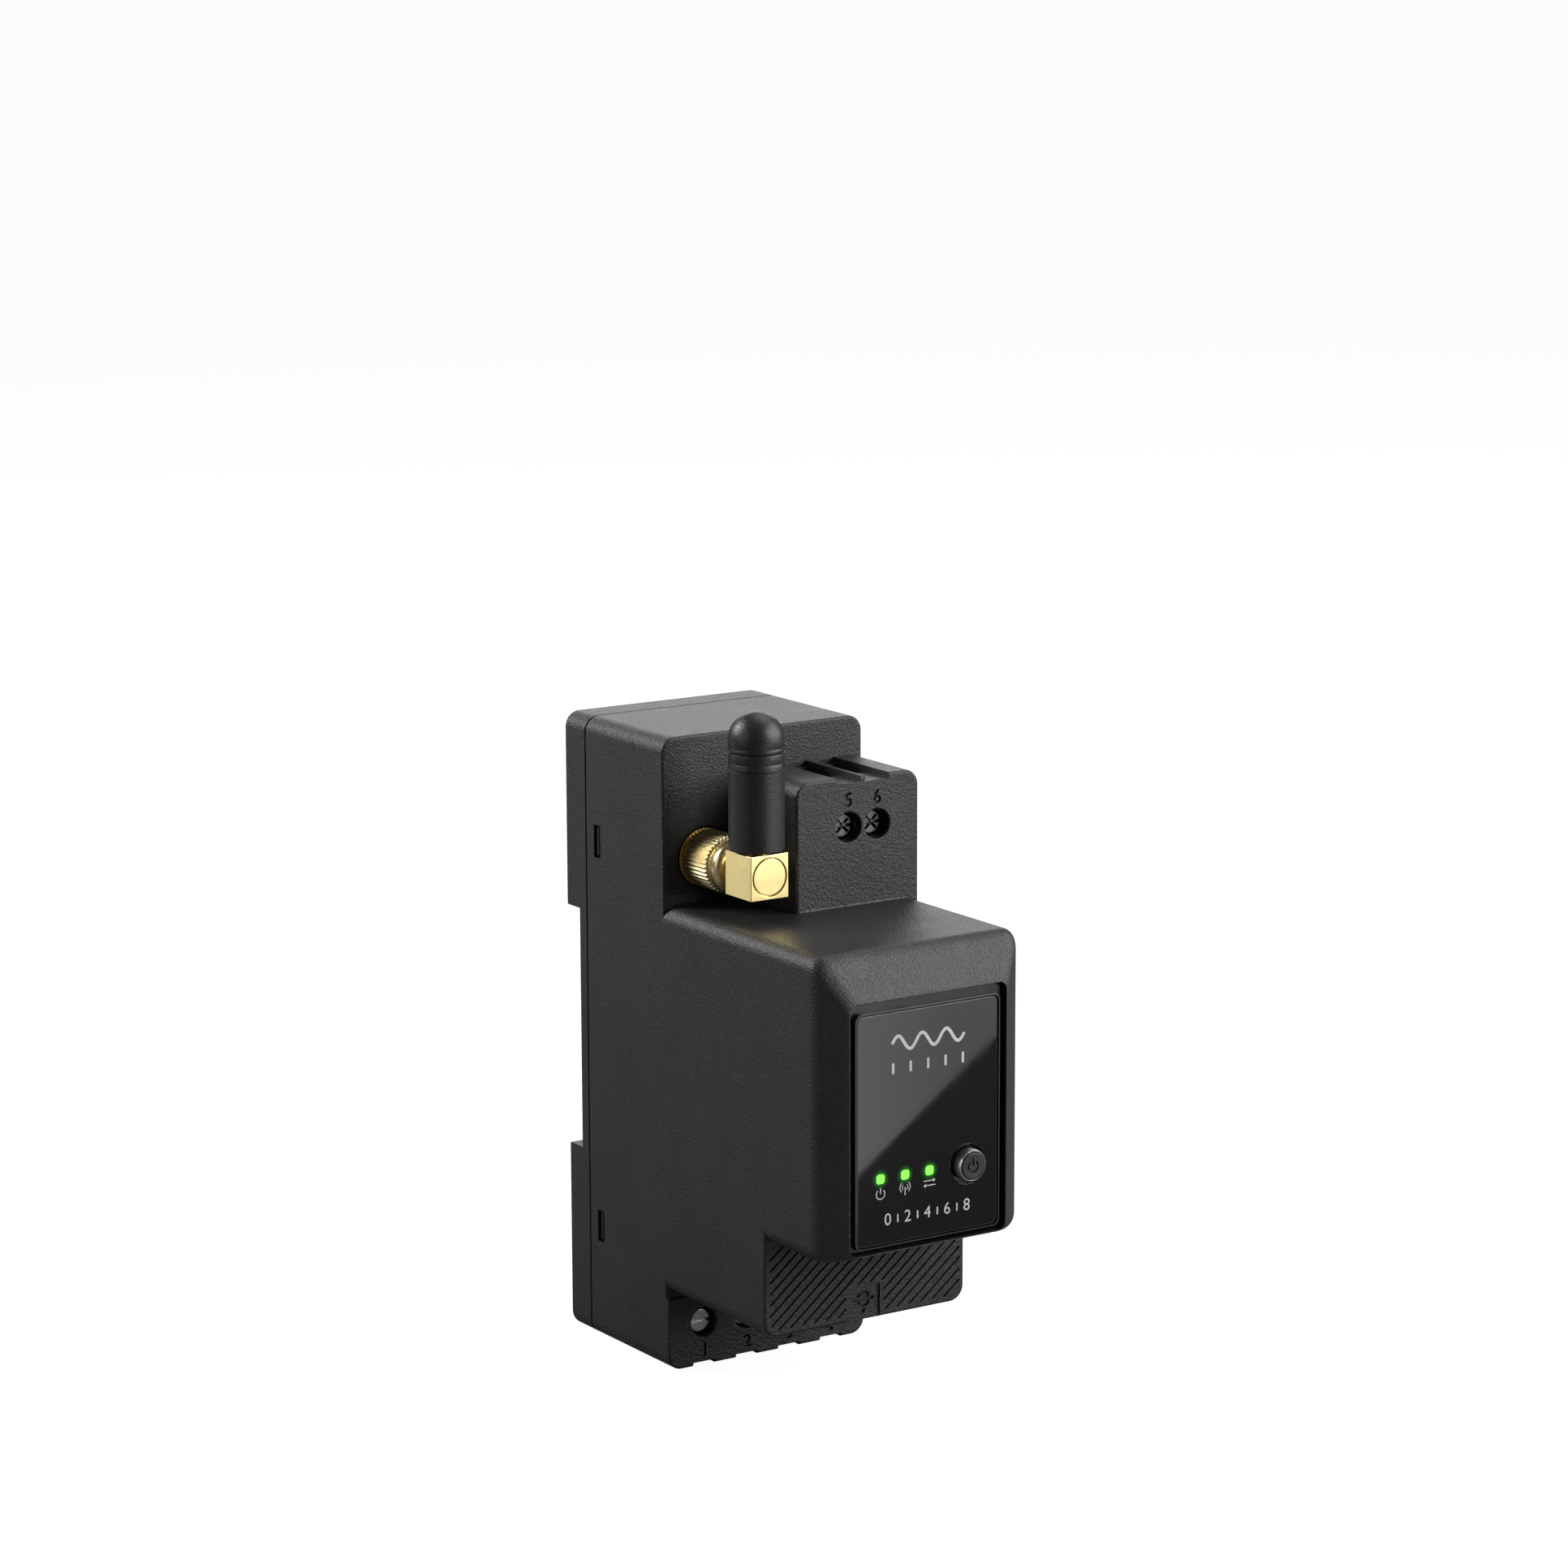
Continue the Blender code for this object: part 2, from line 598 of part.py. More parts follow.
def smooth_route(points, steps):
    """Points along a Catmull-Rom curve through the given ones."""
    ends = [2 * points[0] - points[1], *points, 2 * points[-1] - points[-2]]
    route = []
    for before, start, end, after in zip(ends, ends[1:], ends[2:], ends[3:]):
        for step in range(steps):
            t = step / steps
            route.append(
                0.5
                * (
                    2 * start
                    + (end - before) * t
                    + (2 * before - 5 * start + 4 * end - after) * t**2
                    + (3 * start - before - 3 * end + after) * t**3
                )
            )
    return [*route, points[-1]]


def coax_pigtail():
    """The lead from the jack to the radio module, a smooth curve through its own points."""
    jack_rear = SHOULDER + 8.2 * MM
    route = [
        Vector((ANTENNA_X, jack_rear + GAP, ANTENNA_Z)),
        Vector((ANTENNA_X, jack_rear + 2.5 * MM, ANTENNA_Z)),
        Vector((ANTENNA_X + 2 * MM, -11.0 * MM, 28.2 * MM)),
        Vector((ANTENNA_X + 5 * MM, -10.4 * MM, 25.6 * MM)),
        Vector((ANTENNA_X + 5 * MM, -12.0 * MM, 23.6 * MM)),
        Vector((ANTENNA_X + 5 * MM, -14.0 * MM, 22.6 * MM)),
    ]
    points = smooth_route(route, 5)
    curve = bpy.data.curves.new("coax_pigtail", "CURVE")
    curve.dimensions = "3D"
    curve.bevel_depth = LEAD_RADIUS
    curve.bevel_resolution = 2
    curve.use_fill_caps = True
    spline = curve.splines.new("POLY")
    spline.points.add(len(points) - 1)
    for target, point in zip(spline.points, points):
        target.co = (*point, 1)
    curve.materials.append(finish("cable_black"))
    lead = bpy.data.objects.new("coax_pigtail", curve)
    bpy.context.scene.collection.objects.link(lead)


def slotted_screw(name, x, z, face, head, head_depth, shank, tip, crossed):
    """A clamp screw along Y: the head faces -Y, with one slot or two crossed ones."""
    reach = head + 1 * MM
    slot = 0.28 * MM
    depth = (face - 1 * MM, face + 0.6 * MM)
    cut = [block((x - reach, x + reach), depth, (z - slot, z + slot))]
    if crossed:
        cut.append(block((x - slot, x + slot), depth, (z - reach, z + reach)))
    profile = [(head, face), (head, face + head_depth), (shank, face + head_depth), (shank, tip)]
    solid(name, "steel", turned("Y", x, z, profile, 24), cut=cut, origin=(x, face, z))


def cage(name, x, y, z, inner, wall, screw_z, shank):
    """A loop that the screw draws forward. A wire goes in along Z, between its back wall and the bar."""
    ample = 1 * MM
    solid(
        name,
        "steel",
        block((x - inner - wall, x + inner + wall), y, z),
        cut=[
            block((x - inner, x + inner), (y[0] + wall, y[1] - wall), (z[0] - ample, z[1] + ample)),
            rod("Y", x, screw_z, shank + GAP, y[0] - ample, y[0] + wall + ample, 20),
        ],
        origin=(x, y[0], screw_z),
    )


def mains_terminals():
    """Four rising-cage clamps in one moulded body behind the lower front face."""
    ample = 1 * MM
    front = TERMINAL_FACE + WALL + GAP
    rear = -8.3 * MM
    half = HALF_WIDTH - WALL - GAP - 0.2 * MM
    well_y = (-20.6 * MM, -9.2 * MM)
    well_top = TERMINAL_ROOF - 1 * MM
    head_face = -23.6 * MM
    bar_y = (-15.6 * MM, -14.8 * MM)
    cut = []
    for x in TERMINAL_X:
        cut.append(block((x - 3.3 * MM, x + 3.3 * MM), well_y, (TERMINAL_FLOOR - ample, well_top)))
        cut.append(rod("Y", x, TERMINAL_Z, SCREW_HOLE, front - ample, -21.9 * MM, 24))
        cut.append(rod("Y", x, TERMINAL_Z, 1.8 * MM, front, well_y[0] + ample, 20))
        slot_z = (well_top - ample, TERMINAL_ROOF + ample)
        cut.append(block((x - 1.8 * MM, x + 1.8 * MM), (bar_y[0] - GAP, bar_y[1] + GAP), slot_z))
    body = block((-half, half), (front, rear), (TERMINAL_FLOOR, TERMINAL_ROOF))
    solid("terminal_block", "terminal_plastic", body, cut=cut)
    shank = 1.4 * MM
    cage_y = (-17.3 * MM, -9.5 * MM)
    cage_z = (-47 * MM, -40 * MM)
    for i, x in enumerate(TERMINAL_X, 1):
        screw = f"terminal_screw_{i}"
        slotted_screw(screw, x, TERMINAL_Z, head_face, 1.95 * MM, 1.4 * MM, shank, -15.9 * MM, False)
        cage(f"terminal_cage_{i}", x, cage_y, cage_z, 2.15 * MM, 0.85 * MM, TERMINAL_Z, shank)
        bar_x = (x - 1.5 * MM, x + 1.5 * MM)
        leg = block(bar_x, (bar_y[0], METERING_BOARD[0] - GAP), (-37.3 * MM, -36.5 * MM))
        bar = block(bar_x, bar_y, (-46.8 * MM, -37 * MM))
        solid(f"terminal_bar_{i}", "tinned_copper", bar, [leg])


def data_terminals():
    """Two small rising-cage clamps on the communication board, wired from above."""
    ample = 1 * MM
    front = DATA_FACE + WALL + GAP
    rear = -26 * MM
    low = COMMS_BOARD[1] + GAP
    top = DATA_TOP - WALL - GAP - 2.9 * MM
    well_y = (-35.5 * MM, -27.0 * MM)
    well_floor = 29.7 * MM
    head_face = -37.5 * MM
    bar_y = (-31.9 * MM, -31.3 * MM)
    slot_y = (bar_y[0] - GAP, bar_y[1] + GAP)
    cut = []
    for x in DATA_X:
        cut.append(block((x - 2.2 * MM, x + 2.2 * MM), well_y, (well_floor, top + ample)))
        cut.append(rod("Y", x, DATA_Z, SCREW_HOLE, front - ample, -36.1 * MM, 24))
        cut.append(rod("Y", x, DATA_Z, 1.25 * MM, front, well_y[0] + ample, 16))
        cut.append(block((x - 1.5 * MM, x + 1.5 * MM), slot_y, (low - ample, well_floor + ample)))
    body = block((0.5 * MM, 15.4 * MM), (front, rear), (low, top))
    solid("rs485_terminal_block", "terminal_plastic", body, cut=cut)
    shank = 0.9 * MM
    cage_y = (-33.2 * MM, -27.4 * MM)
    cage_z = (30.2 * MM, 36.6 * MM)
    for i, x in enumerate(DATA_X, 1):
        slotted_screw(f"rs485_screw_{i}", x, DATA_Z, head_face, 1.9 * MM, 1.1 * MM, shank, -32.2 * MM, True)
        cage(f"rs485_cage_{i}", x, cage_y, cage_z, 1.3 * MM, 0.6 * MM, DATA_Z, shank)
        bar = block((x - 1.1 * MM, x + 1.1 * MM), bar_y, (low, 36.2 * MM))
        solid(f"rs485_bar_{i}", "tinned_copper", bar)


def ct_sockets():
    """Three plug sockets that face down, and the board that carries them."""
    ample = 1 * MM
    low = CT_BOTTOM + GAP
    cut = []
    for i in (-1, 0, 1):
        x = i * CT_CAVITY_PITCH
        cut.append(block((x - 3.3 * MM, x + 3.3 * MM), (-43.0 * MM, -38.0 * MM), (low - ample, -29 * MM)))
    body = block((-CT_SOCKET_X, CT_SOCKET_X), CT_SOCKET_Y, (low, CT_BOARD[0] - GAP))
    solid("ct_socket", "terminal_plastic", body, cut=cut)
    solid("ct_board", "circuit_board", block((-14.5 * MM, 14.5 * MM), (-48.5 * MM, -29 * MM), CT_BOARD))


def front_panel():
    """The glass with its hole for the button, in a tray whose thin lip runs round it."""
    ample = 1 * MM
    glass_rear = GLASS_FACE + GLASS_THICK
    glass = rounded(-GLASS_X, GLASS_X, GLASS_BOTTOM, GLASS_TOP, (0.9 * MM,) * 4)
    solid(
        "front_panel",
        "glass_black",
        prism(glass, "Y", glass_rear, GLASS_FACE),
        cut=[rod("Y", BUTTON_X, BUTTON_Z, BUTTON_HOLE, glass_rear + ample, GLASS_FACE - ample)],
    )
    inner = GLASS_X + FINE_GAP
    outer = inner + LIP
    pocket = rounded(-inner, inner, GLASS_BOTTOM - FINE_GAP, GLASS_TOP + FINE_GAP, (1.0 * MM,) * 4)
    lip_z = (GLASS_BOTTOM - FINE_GAP - LIP, GLASS_TOP + FINE_GAP + LIP)
    lip = rounded(-outer, outer, *lip_z, (1.2 * MM,) * 4)
    tray = rounded(-RIM_X + GAP, RIM_X - GAP, RIM_BOTTOM + GAP, RIM_TOP - GAP, (1.1 * MM,) * 4)
    cut = [
        prism(pocket, "Y", glass_rear + GAP, LIP_FACE - ample),
        rod("Y", BUTTON_X, BUTTON_Z, BUTTON_RADIUS + GAP, TRAY_REAR + ample, glass_rear - ample),
    ]
    for x in LAMP_X:
        side = LAMP_HALF + GAP
        through = (glass_rear - ample, TRAY_REAR + ample)
        cut.append(block((x - side, x + side), through, (LAMP_Z - side, LAMP_Z + side)))
    solid(
        "panel_tray",
        "moulded_black",
        prism(tray, "Y", TRAY_REAR, TRAY_FACE),
        [prism(lip, "Y", TRAY_REAR - GAP, LIP_FACE)],
        cut,
    )


def push_button():
    """The button, its plated ring, and the switch with the plunger that the button presses."""
    axis = (BUTTON_X, BUTTON_FACE, BUTTON_Z)
    flange = (TRAY_REAR + GAP, TRAY_REAR + GAP + 0.6 * MM)
    profile = [
        (BUTTON_RADIUS - 0.1 * MM, BUTTON_FACE),
        (BUTTON_RADIUS, BUTTON_FACE + 0.1 * MM),
        (BUTTON_RADIUS, flange[0]),
        (BUTTON_FLANGE, flange[0]),
        (BUTTON_FLANGE, flange[1]),
    ]
    solid("power_button", "moulded_black", turned("Y", BUTTON_X, BUTTON_Z, profile), origin=axis)
    ring_rear = -66.2 * MM
    ring = [
        (RING_RADIUS - 0.2 * MM, BUTTON_FACE + 0.1 * MM),
        (RING_RADIUS, BUTTON_FACE + 0.45 * MM),
        (RING_RADIUS, ring_rear),
    ]
    bore = rod("Y", BUTTON_X, BUTTON_Z, BUTTON_RADIUS + FINE_GAP, BUTTON_FACE - 1 * MM, ring_rear + 1 * MM)
    solid("button_ring", "chrome", turned("Y", BUTTON_X, BUTTON_Z, ring), cut=[bore], origin=axis)
    plunger = (flange[1] + GAP, -61.9 * MM)
    switch = (-62.5 * MM, DISPLAY_BOARD[0] - GAP)
    half = 2.6 * MM
    solid(
        "switch_plunger",
        "terminal_plastic",
        rod("Y", BUTTON_X, BUTTON_Z, 1.2 * MM, *plunger, 20),
        origin=(BUTTON_X, plunger[0], BUTTON_Z),
    )
    solid(
        "tact_switch",
        "chip_black",
        block((BUTTON_X - half, BUTTON_X + half), switch, (BUTTON_Z - half, BUTTON_Z + half)),
        cut=[rod("Y", BUTTON_X, BUTTON_Z, 1.5 * MM, switch[0] - 1 * MM, -61.4 * MM, 20)],
    )


def indicator_lamps():
    """Three lamps on the display board and the one-piece guide that leads their light to the glass."""
    lamp_y = (DISPLAY_BOARD[0] - GAP - 0.6 * MM, DISPLAY_BOARD[0] - GAP)
    guide_rear = lamp_y[0] - GAP
    guide_front = GLASS_FACE + GLASS_THICK + GAP
    fingers = []
    for i, x in enumerate(LAMP_X, 1):
        shape = block((x - 0.8 * MM, x + 0.8 * MM), lamp_y, (LAMP_Z - 0.5 * MM, LAMP_Z + 0.5 * MM))
        solid(f"led_{i}", "lamp_green", shape)
        finger_z = (LAMP_Z - LAMP_HALF, LAMP_Z + LAMP_HALF)
        fingers.append(block((x - LAMP_HALF, x + LAMP_HALF), (guide_front, guide_rear), finger_z))
    bar_z = (LAMP_Z - 1.2 * MM, LAMP_Z + 1.2 * MM)
    bar = block((LAMP_X[0] - 1 * MM, LAMP_X[2] + 1 * MM), (-62.5 * MM, -61.6 * MM), bar_z)
    solid("light_guide", "clear_guide", bar, fingers)
    display = block((-13.8 * MM, 13.8 * MM), DISPLAY_BOARD, (-19.5 * MM, 14.5 * MM))
    solid("display_board", "circuit_board", display)


def electronics():
    """The metering, power and communication boards with their main parts."""
    upright = block((-14.2 * MM, 14.2 * MM), METERING_BOARD, (-46 * MM, 45 * MM))
    solid("metering_board", "circuit_board", upright)
    solid("power_board", "circuit_board", block((-15.2 * MM, 15.2 * MM), (-56 * MM, -10 * MM), POWER_BOARD))
    solid("comms_board", "circuit_board", block((-15.2 * MM, 15.2 * MM), (-56 * MM, -8 * MM), COMMS_BOARD))
    metering_front = METERING_BOARD[0] - GAP
    chip = block((-5 * MM, 5 * MM), (metering_front - 1.2 * MM, metering_front), (-20 * MM, -10 * MM))
    solid("metering_chip", "chip_black", chip)
    radio_low = COMMS_BOARD[1] + GAP
    radio = block((-14 * MM, -2 * MM), (-21 * MM, -9 * MM), (radio_low, radio_low + 2.4 * MM))
    solid("radio_module", "steel", radio)
    floor = POWER_BOARD[1] + GAP
    connector = block((-8 * MM, 8 * MM), (-12.5 * MM, metering_front), (floor, floor + 4 * MM))
    solid("board_connector", "terminal_plastic", connector)
    windings = block((-12.5 * MM, -0.5 * MM), (-44.5 * MM, -27.5 * MM), (floor + 2 * MM, floor + 12 * MM))
    core = block((-14.5 * MM, 1.5 * MM), (-41 * MM, -31 * MM), (floor, floor + 14 * MM))
    solid("transformer", "core_tape", core, [windings])
    can_profile = [(4 * MM, floor), (4 * MM, floor + 12.5 * MM), (3.6 * MM, floor + 13 * MM)]
    for i, y in enumerate((-20 * MM, -31 * MM), 1):
        can = turned("Z", 8.5 * MM, y, can_profile, 24)
        solid(f"bulk_capacitor_{i}", "capacitor_sleeve", can)
    disc = rod("Y", -8 * MM, floor + 5 * MM, 4.8 * MM, -22 * MM, -18.5 * MM, 24)
    solid("varistor", "varistor_blue", disc)
    fuse = rod("Y", 7 * MM, floor + 2 * MM, 1.8 * MM, -52 * MM, -40 * MM, 16)
    solid("fuse", "fuse_ceramic", fuse)


def main():
    clear_scene()
    front_housing()
    rear_cover()
    din_clip()
    antenna()
    coax_pigtail()
    mains_terminals()
    data_terminals()
    ct_sockets()
    front_panel()
    push_button()
    indicator_lamps()
    electronics()


main()
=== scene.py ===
"""The looks of the rail-mounted smart meter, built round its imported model.

+X is the meter's right side seen from the front, +Y points to the rail and +Z up.
Lengths are in metres.
"""

import math

import bmesh
import bpy
from mathutils import Matrix, Vector

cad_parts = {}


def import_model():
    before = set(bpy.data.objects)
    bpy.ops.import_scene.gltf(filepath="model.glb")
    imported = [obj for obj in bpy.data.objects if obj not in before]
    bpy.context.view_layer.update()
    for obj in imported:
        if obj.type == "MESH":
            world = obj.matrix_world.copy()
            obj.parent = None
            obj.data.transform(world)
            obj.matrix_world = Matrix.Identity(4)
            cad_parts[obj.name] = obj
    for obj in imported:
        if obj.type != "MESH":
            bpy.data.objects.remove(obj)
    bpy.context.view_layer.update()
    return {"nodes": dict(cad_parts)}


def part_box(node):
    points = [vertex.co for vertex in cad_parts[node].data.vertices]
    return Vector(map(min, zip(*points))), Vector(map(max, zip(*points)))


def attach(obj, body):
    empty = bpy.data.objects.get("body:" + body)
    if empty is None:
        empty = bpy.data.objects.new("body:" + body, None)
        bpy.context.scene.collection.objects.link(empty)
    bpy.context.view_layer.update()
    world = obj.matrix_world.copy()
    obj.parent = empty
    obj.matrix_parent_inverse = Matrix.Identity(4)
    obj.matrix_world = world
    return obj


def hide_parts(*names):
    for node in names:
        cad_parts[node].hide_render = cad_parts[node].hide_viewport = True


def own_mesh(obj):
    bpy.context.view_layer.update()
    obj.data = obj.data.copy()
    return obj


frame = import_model()

MM = 0.001
GAP = 0.3 * MM
FINE_GAP = 0.15 * MM
AMPLE = 1 * MM  # how far a cutter reaches past what it cuts, or a joined shape into its neighbour
WELD = 1e-7
WHITE = (1, 1, 1, 1)
ROUND_STEPS = 96
CORNER_STEPS = 10
FILLET_STEPS = 6

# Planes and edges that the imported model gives.
CASE_LOW, CASE_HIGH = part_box("front_housing")
COVER_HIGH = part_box("rear_cover")[1]
GLASS_LOW, GLASS_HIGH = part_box("front_panel")
TRAY_LOW, TRAY_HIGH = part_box("panel_tray")
INSERT_LOW, INSERT_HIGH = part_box("antenna_panel")
CLIP_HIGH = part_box("din_clip")[1]
SOCKET_LOW, SOCKET_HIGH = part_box("ct_socket")
BUTTON_LOW, BUTTON_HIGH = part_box("power_button")
RING_LOW, RING_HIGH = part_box("button_ring")
ELBOW_LOW, ELBOW_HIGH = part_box("antenna_elbow")
CAP_LOW, CAP_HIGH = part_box("elbow_cap")
SLEEVE_LOW, SLEEVE_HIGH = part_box("antenna_sleeve")
TIP_LOW, TIP_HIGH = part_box("antenna_tip")
NUT_LOW, NUT_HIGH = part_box("sma_coupling_nut")

HALF_WIDTH = CASE_HIGH.x
TOP = CASE_HIGH.z
BOTTOM = CASE_LOW.z
RIM_FACE = CASE_LOW.y
HOUSING_REAR = CASE_HIGH.y
COVER_FRONT = HOUSING_REAR + GAP
BACK = COVER_HIGH.y
SHOULDER = INSERT_LOW.y

# Casing steps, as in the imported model.
WALL = 1.6 * MM
CORNER = 2.4 * MM
ALL_CORNERS = (CORNER,) * 4
LOW_CORNERS = (CORNER, CORNER, 0, 0)
HIGH_CORNERS = (0, 0, CORNER, CORNER)
ACROSS = (-HALF_WIDTH, HALF_WIDTH)
INSIDE = HALF_WIDTH - WALL
BEHIND = SHOULDER + 4 * MM
TERMINAL_FACE = SHOULDER - 0.7 * MM
DATA_FACE = -39.3 * MM
CT_FACE = -51.5 * MM
HEAD_EDGE = -64.7 * MM
HEAD_TOP = 22.25 * MM
HEAD_BOTTOM = -23.3 * MM
CT_BOTTOM = SOCKET_LOW.z - GAP
RIM_X = TRAY_HIGH.x + GAP
RIM_TOP = TRAY_HIGH.z + GAP
RIM_BOTTOM = TRAY_LOW.z - GAP
RIM_EDGE = 0.2 * MM
RECESS_FLOOR = TRAY_HIGH.y + GAP
HEAD_CAVITY = -63.0 * MM
EDGE = 0.45 * MM

# The data block, the mains terminals, the striped field with its tab, and the rail.
DATA_LEFT = -4.0 * MM
DATA_TOP = 41.9 * MM
DATA_X = (5.3 * MM, 10.45 * MM)
DATA_Z = 34.3 * MM
DATA_CHANNEL = 2.2 * MM
DATA_CHANNEL_DEPTH = 0.9 * MM
DATA_MOUTH = (-33.5 * MM, -25.5 * MM)

TERMINAL_X = [(i - 1.5) * 7.75 * MM for i in range(4)]
TERMINAL_Z = -43.3 * MM
SCREW_HOLE = 2.3 * MM
JACK_BORE = 3.4 * MM
TERMINAL_ROOF = -38.6 * MM
ENTRY_Y = (-15.3 * MM, -9.9 * MM)

STRIPE_X = (-17.05 * MM, 17.15 * MM)
STRIPE_Z = (-36.9 * MM, -24.0 * MM)
STRIPE_CORNER = 1.6 * MM
TAB_X = (-2.95 * MM, 2.6 * MM)
TAB_TOP = -32.7 * MM
TAB_CLEAR_X = (-3.45 * MM, 3.1 * MM)
TAB_CLEAR_TOP = -32.25 * MM

RAIL_TOP = 17.7 * MM
RAIL_BOTTOM = -20.3 * MM
SNAP_Z = (29.05 * MM, -31.8 * MM)
WINDOW_HALF = 2.55 * MM
WINDOW_Y = (-6.3 * MM, -4.4 * MM)

# The antenna and the front panel.
ANTENNA_X = (ELBOW_LOW.x + ELBOW_HIGH.x) / 2
ANTENNA_Z = (NUT_LOW.z + NUT_HIGH.z) / 2
ROD_Y = (SLEEVE_LOW.y + SLEEVE_HIGH.y) / 2
ROD_RADIUS = (SLEEVE_HIGH.x - SLEEVE_LOW.x) / 2

LAMP_X = (-8.3 * MM, -3.97 * MM, 0.35 * MM)
LAMP_Z = -11.2 * MM
BUTTON_X = (BUTTON_LOW.x + BUTTON_HIGH.x) / 2
BUTTON_Z = (BUTTON_LOW.z + BUTTON_HIGH.z) / 2
PRINT_DEPTH = 0.012 * MM


# Outlines: lists of 2-D points, anticlockwise.


def at_angle(x, y, radius, angle):
    return x + radius * math.cos(angle), y + radius * math.sin(angle)


def circle(x, y, radius, steps=ROUND_STEPS):
    return [at_angle(x, y, radius, 2 * math.pi * i / steps) for i in range(steps)]


def rectangle(low_x, high_x, low_y, high_y):
    return [(low_x, low_y), (high_x, low_y), (high_x, high_y), (low_x, high_y)]


def rounded(low_x, high_x, low_y, high_y, radii, steps=CORNER_STEPS):
    """A rectangle with these corner radii, anticlockwise from low low; 0 gives one point."""
    points = []
    corners = (
        (low_x, low_y, 1, 1),
        (high_x, low_y, -1, 1),
        (high_x, high_y, -1, -1),
        (low_x, high_y, 1, -1),
    )
    for i, ((x, y, inward_x, inward_y), radius) in enumerate(zip(corners, radii)):
        if radius == 0:
            points.append((x, y))
            continue
        for step in range(steps + 1):
            angle = math.pi * (1 + i / 2 + step / steps / 2)
            centre_x = x + inward_x * radius
            centre_y = y + inward_y * radius
            points.append(at_angle(centre_x, centre_y, radius, angle))
    return points


def inset(box, radii, by):
    """The rounded rectangle of that box drawn smaller all round; by below 0 draws it larger."""
    low_x, high_x, low_y, high_y = box
    least = 0.02 * MM
    shrunk = [radius and max(radius - by, least) for radius in radii]
    return rounded(low_x + by, high_x - by, low_y + by, high_y - by, shrunk)


def grown(low, high, by=0.0):
    """The x and z span of a packed box, larger by this much all round."""
    return low.x - by, high.x + by, low.z - by, high.z + by


def band(x, y, radius, width, start, end, steps=24):
    """A curved bar: the part of a ring between two angles in degrees."""
    outer = radius + width / 2
    inner = radius - width / 2
    angles = [math.radians(start + (end - start) * i / steps) for i in range(steps + 1)]
    points = [at_angle(x, y, outer, angle) for angle in angles]
    return points + [at_angle(x, y, inner, angle) for angle in reversed(angles)]


def stadium(start, end, width, steps=8):
    """A straight slot with round ends."""
    along = Vector((end[0] - start[0], end[1] - start[1])).normalized()
    heading = math.atan2(along.y, along.x)
    points = []
    for centre, first in ((end, -math.pi / 2), (start, math.pi / 2)):
        for i in range(steps + 1):
            angle = heading + first + math.pi * i / steps
            points.append(at_angle(*centre, width / 2, angle))
    return points


def stroke(centre_line, width):
    """A bar of even width along a list of points."""
    left = []
    right = []
    for i, point in enumerate(centre_line):
        before = Vector(centre_line[max(i - 1, 0)])
        after = Vector(centre_line[min(i + 1, len(centre_line) - 1)])
        along = (after - before).normalized()
        across = Vector((-along.y, along.x)) * width / 2
        left.append(tuple(Vector(point) + across))
        right.append(tuple(Vector(point) - across))
    return right + left[::-1]


# Shapes: each is a function that adds one closed surface to a bmesh.


def placed(point, along, height):
    """A 2-D point put into space: along X it is (y, z), along Y (x, z) and along Z (x, y)."""
    coordinates = list(point)
    coordinates.insert("XYZ".index(along), height)
    return Vector(coordinates)


def joined_rings(bm, lower_rings, upper_rings):
    """The faces between each ring of vertices and the next."""
    faces = []
    for lower, upper in zip(lower_rings, upper_rings):
        for i in range(len(lower)):
            j = (i + 1) % len(lower)
            faces.append(bm.faces.new((lower[i], lower[j], upper[j], upper[i])))
    return faces


def loft(along, *sections):
    """Outlines of as many points each, with their heights, joined in order and closed."""

    def add(bm):
        rings = [[bm.verts.new(placed(p, along, at)) for p in outline] for outline, at in sections]
        faces = [bm.faces.new(rings[0][::-1]), bm.faces.new(rings[-1])]
        faces += joined_rings(bm, rings, rings[1:])
        bmesh.ops.recalc_face_normals(bm, faces=faces)

    return add


def prism(outline, along, start, end):
    return loft(along, (outline, start), (outline, end))


def block(x, y, z):
    return prism(rectangle(*x, *y), "Z", *z)


def rod(along, a, b, radius, start, end, steps=ROUND_STEPS):
    return prism(circle(a, b, radius, steps), along, start, end)


def turned(along, a, b, profile, steps=ROUND_STEPS):
    """A solid of revolution about the line through (a, b), from (radius, height) pairs."""
    return loft(along, *((circle(a, b, radius, steps), height) for radius, height in profile))


def tube(along, a, b, profile, steps=ROUND_STEPS):
    """A ring-shaped solid of revolution: its profile is a closed loop of (radius, height) pairs."""

    def add(bm):
        rings = []
        for radius, at in profile:
            outline = circle(a, b, radius, steps)
            rings.append([bm.verts.new(placed(p, along, at)) for p in outline])
        faces = joined_rings(bm, rings, rings[1:] + rings[:1])
        bmesh.ops.recalc_face_normals(bm, faces=faces)

    return add


def quarter(count=FILLET_STEPS):
    """Pairs round a quarter circle from (0, 1) to (1, 0): how far in, and short of the face."""
    angles = [math.pi / 2 * i / count for i in range(count + 1)]
    return [(1 - math.cos(angle), 1 - math.sin(angle)) for angle in angles]


def cushioned(box, radii, start, face, edge, start_edge=0.0):
    """A block along Y from start to face, rounded at the face and, if asked, at the start."""
    sign = math.copysign(1, face - start)

    def fillet(size, height, way):
        return [(inset(box, radii, size * a), height + way * size * b) for a, b in quarter()]

    sections = [(inset(box, radii, 0), start)]
    if start_edge:
        sections = fillet(start_edge, start, sign)[::-1]
    return loft("Y", *sections, *fillet(edge, face, -sign))


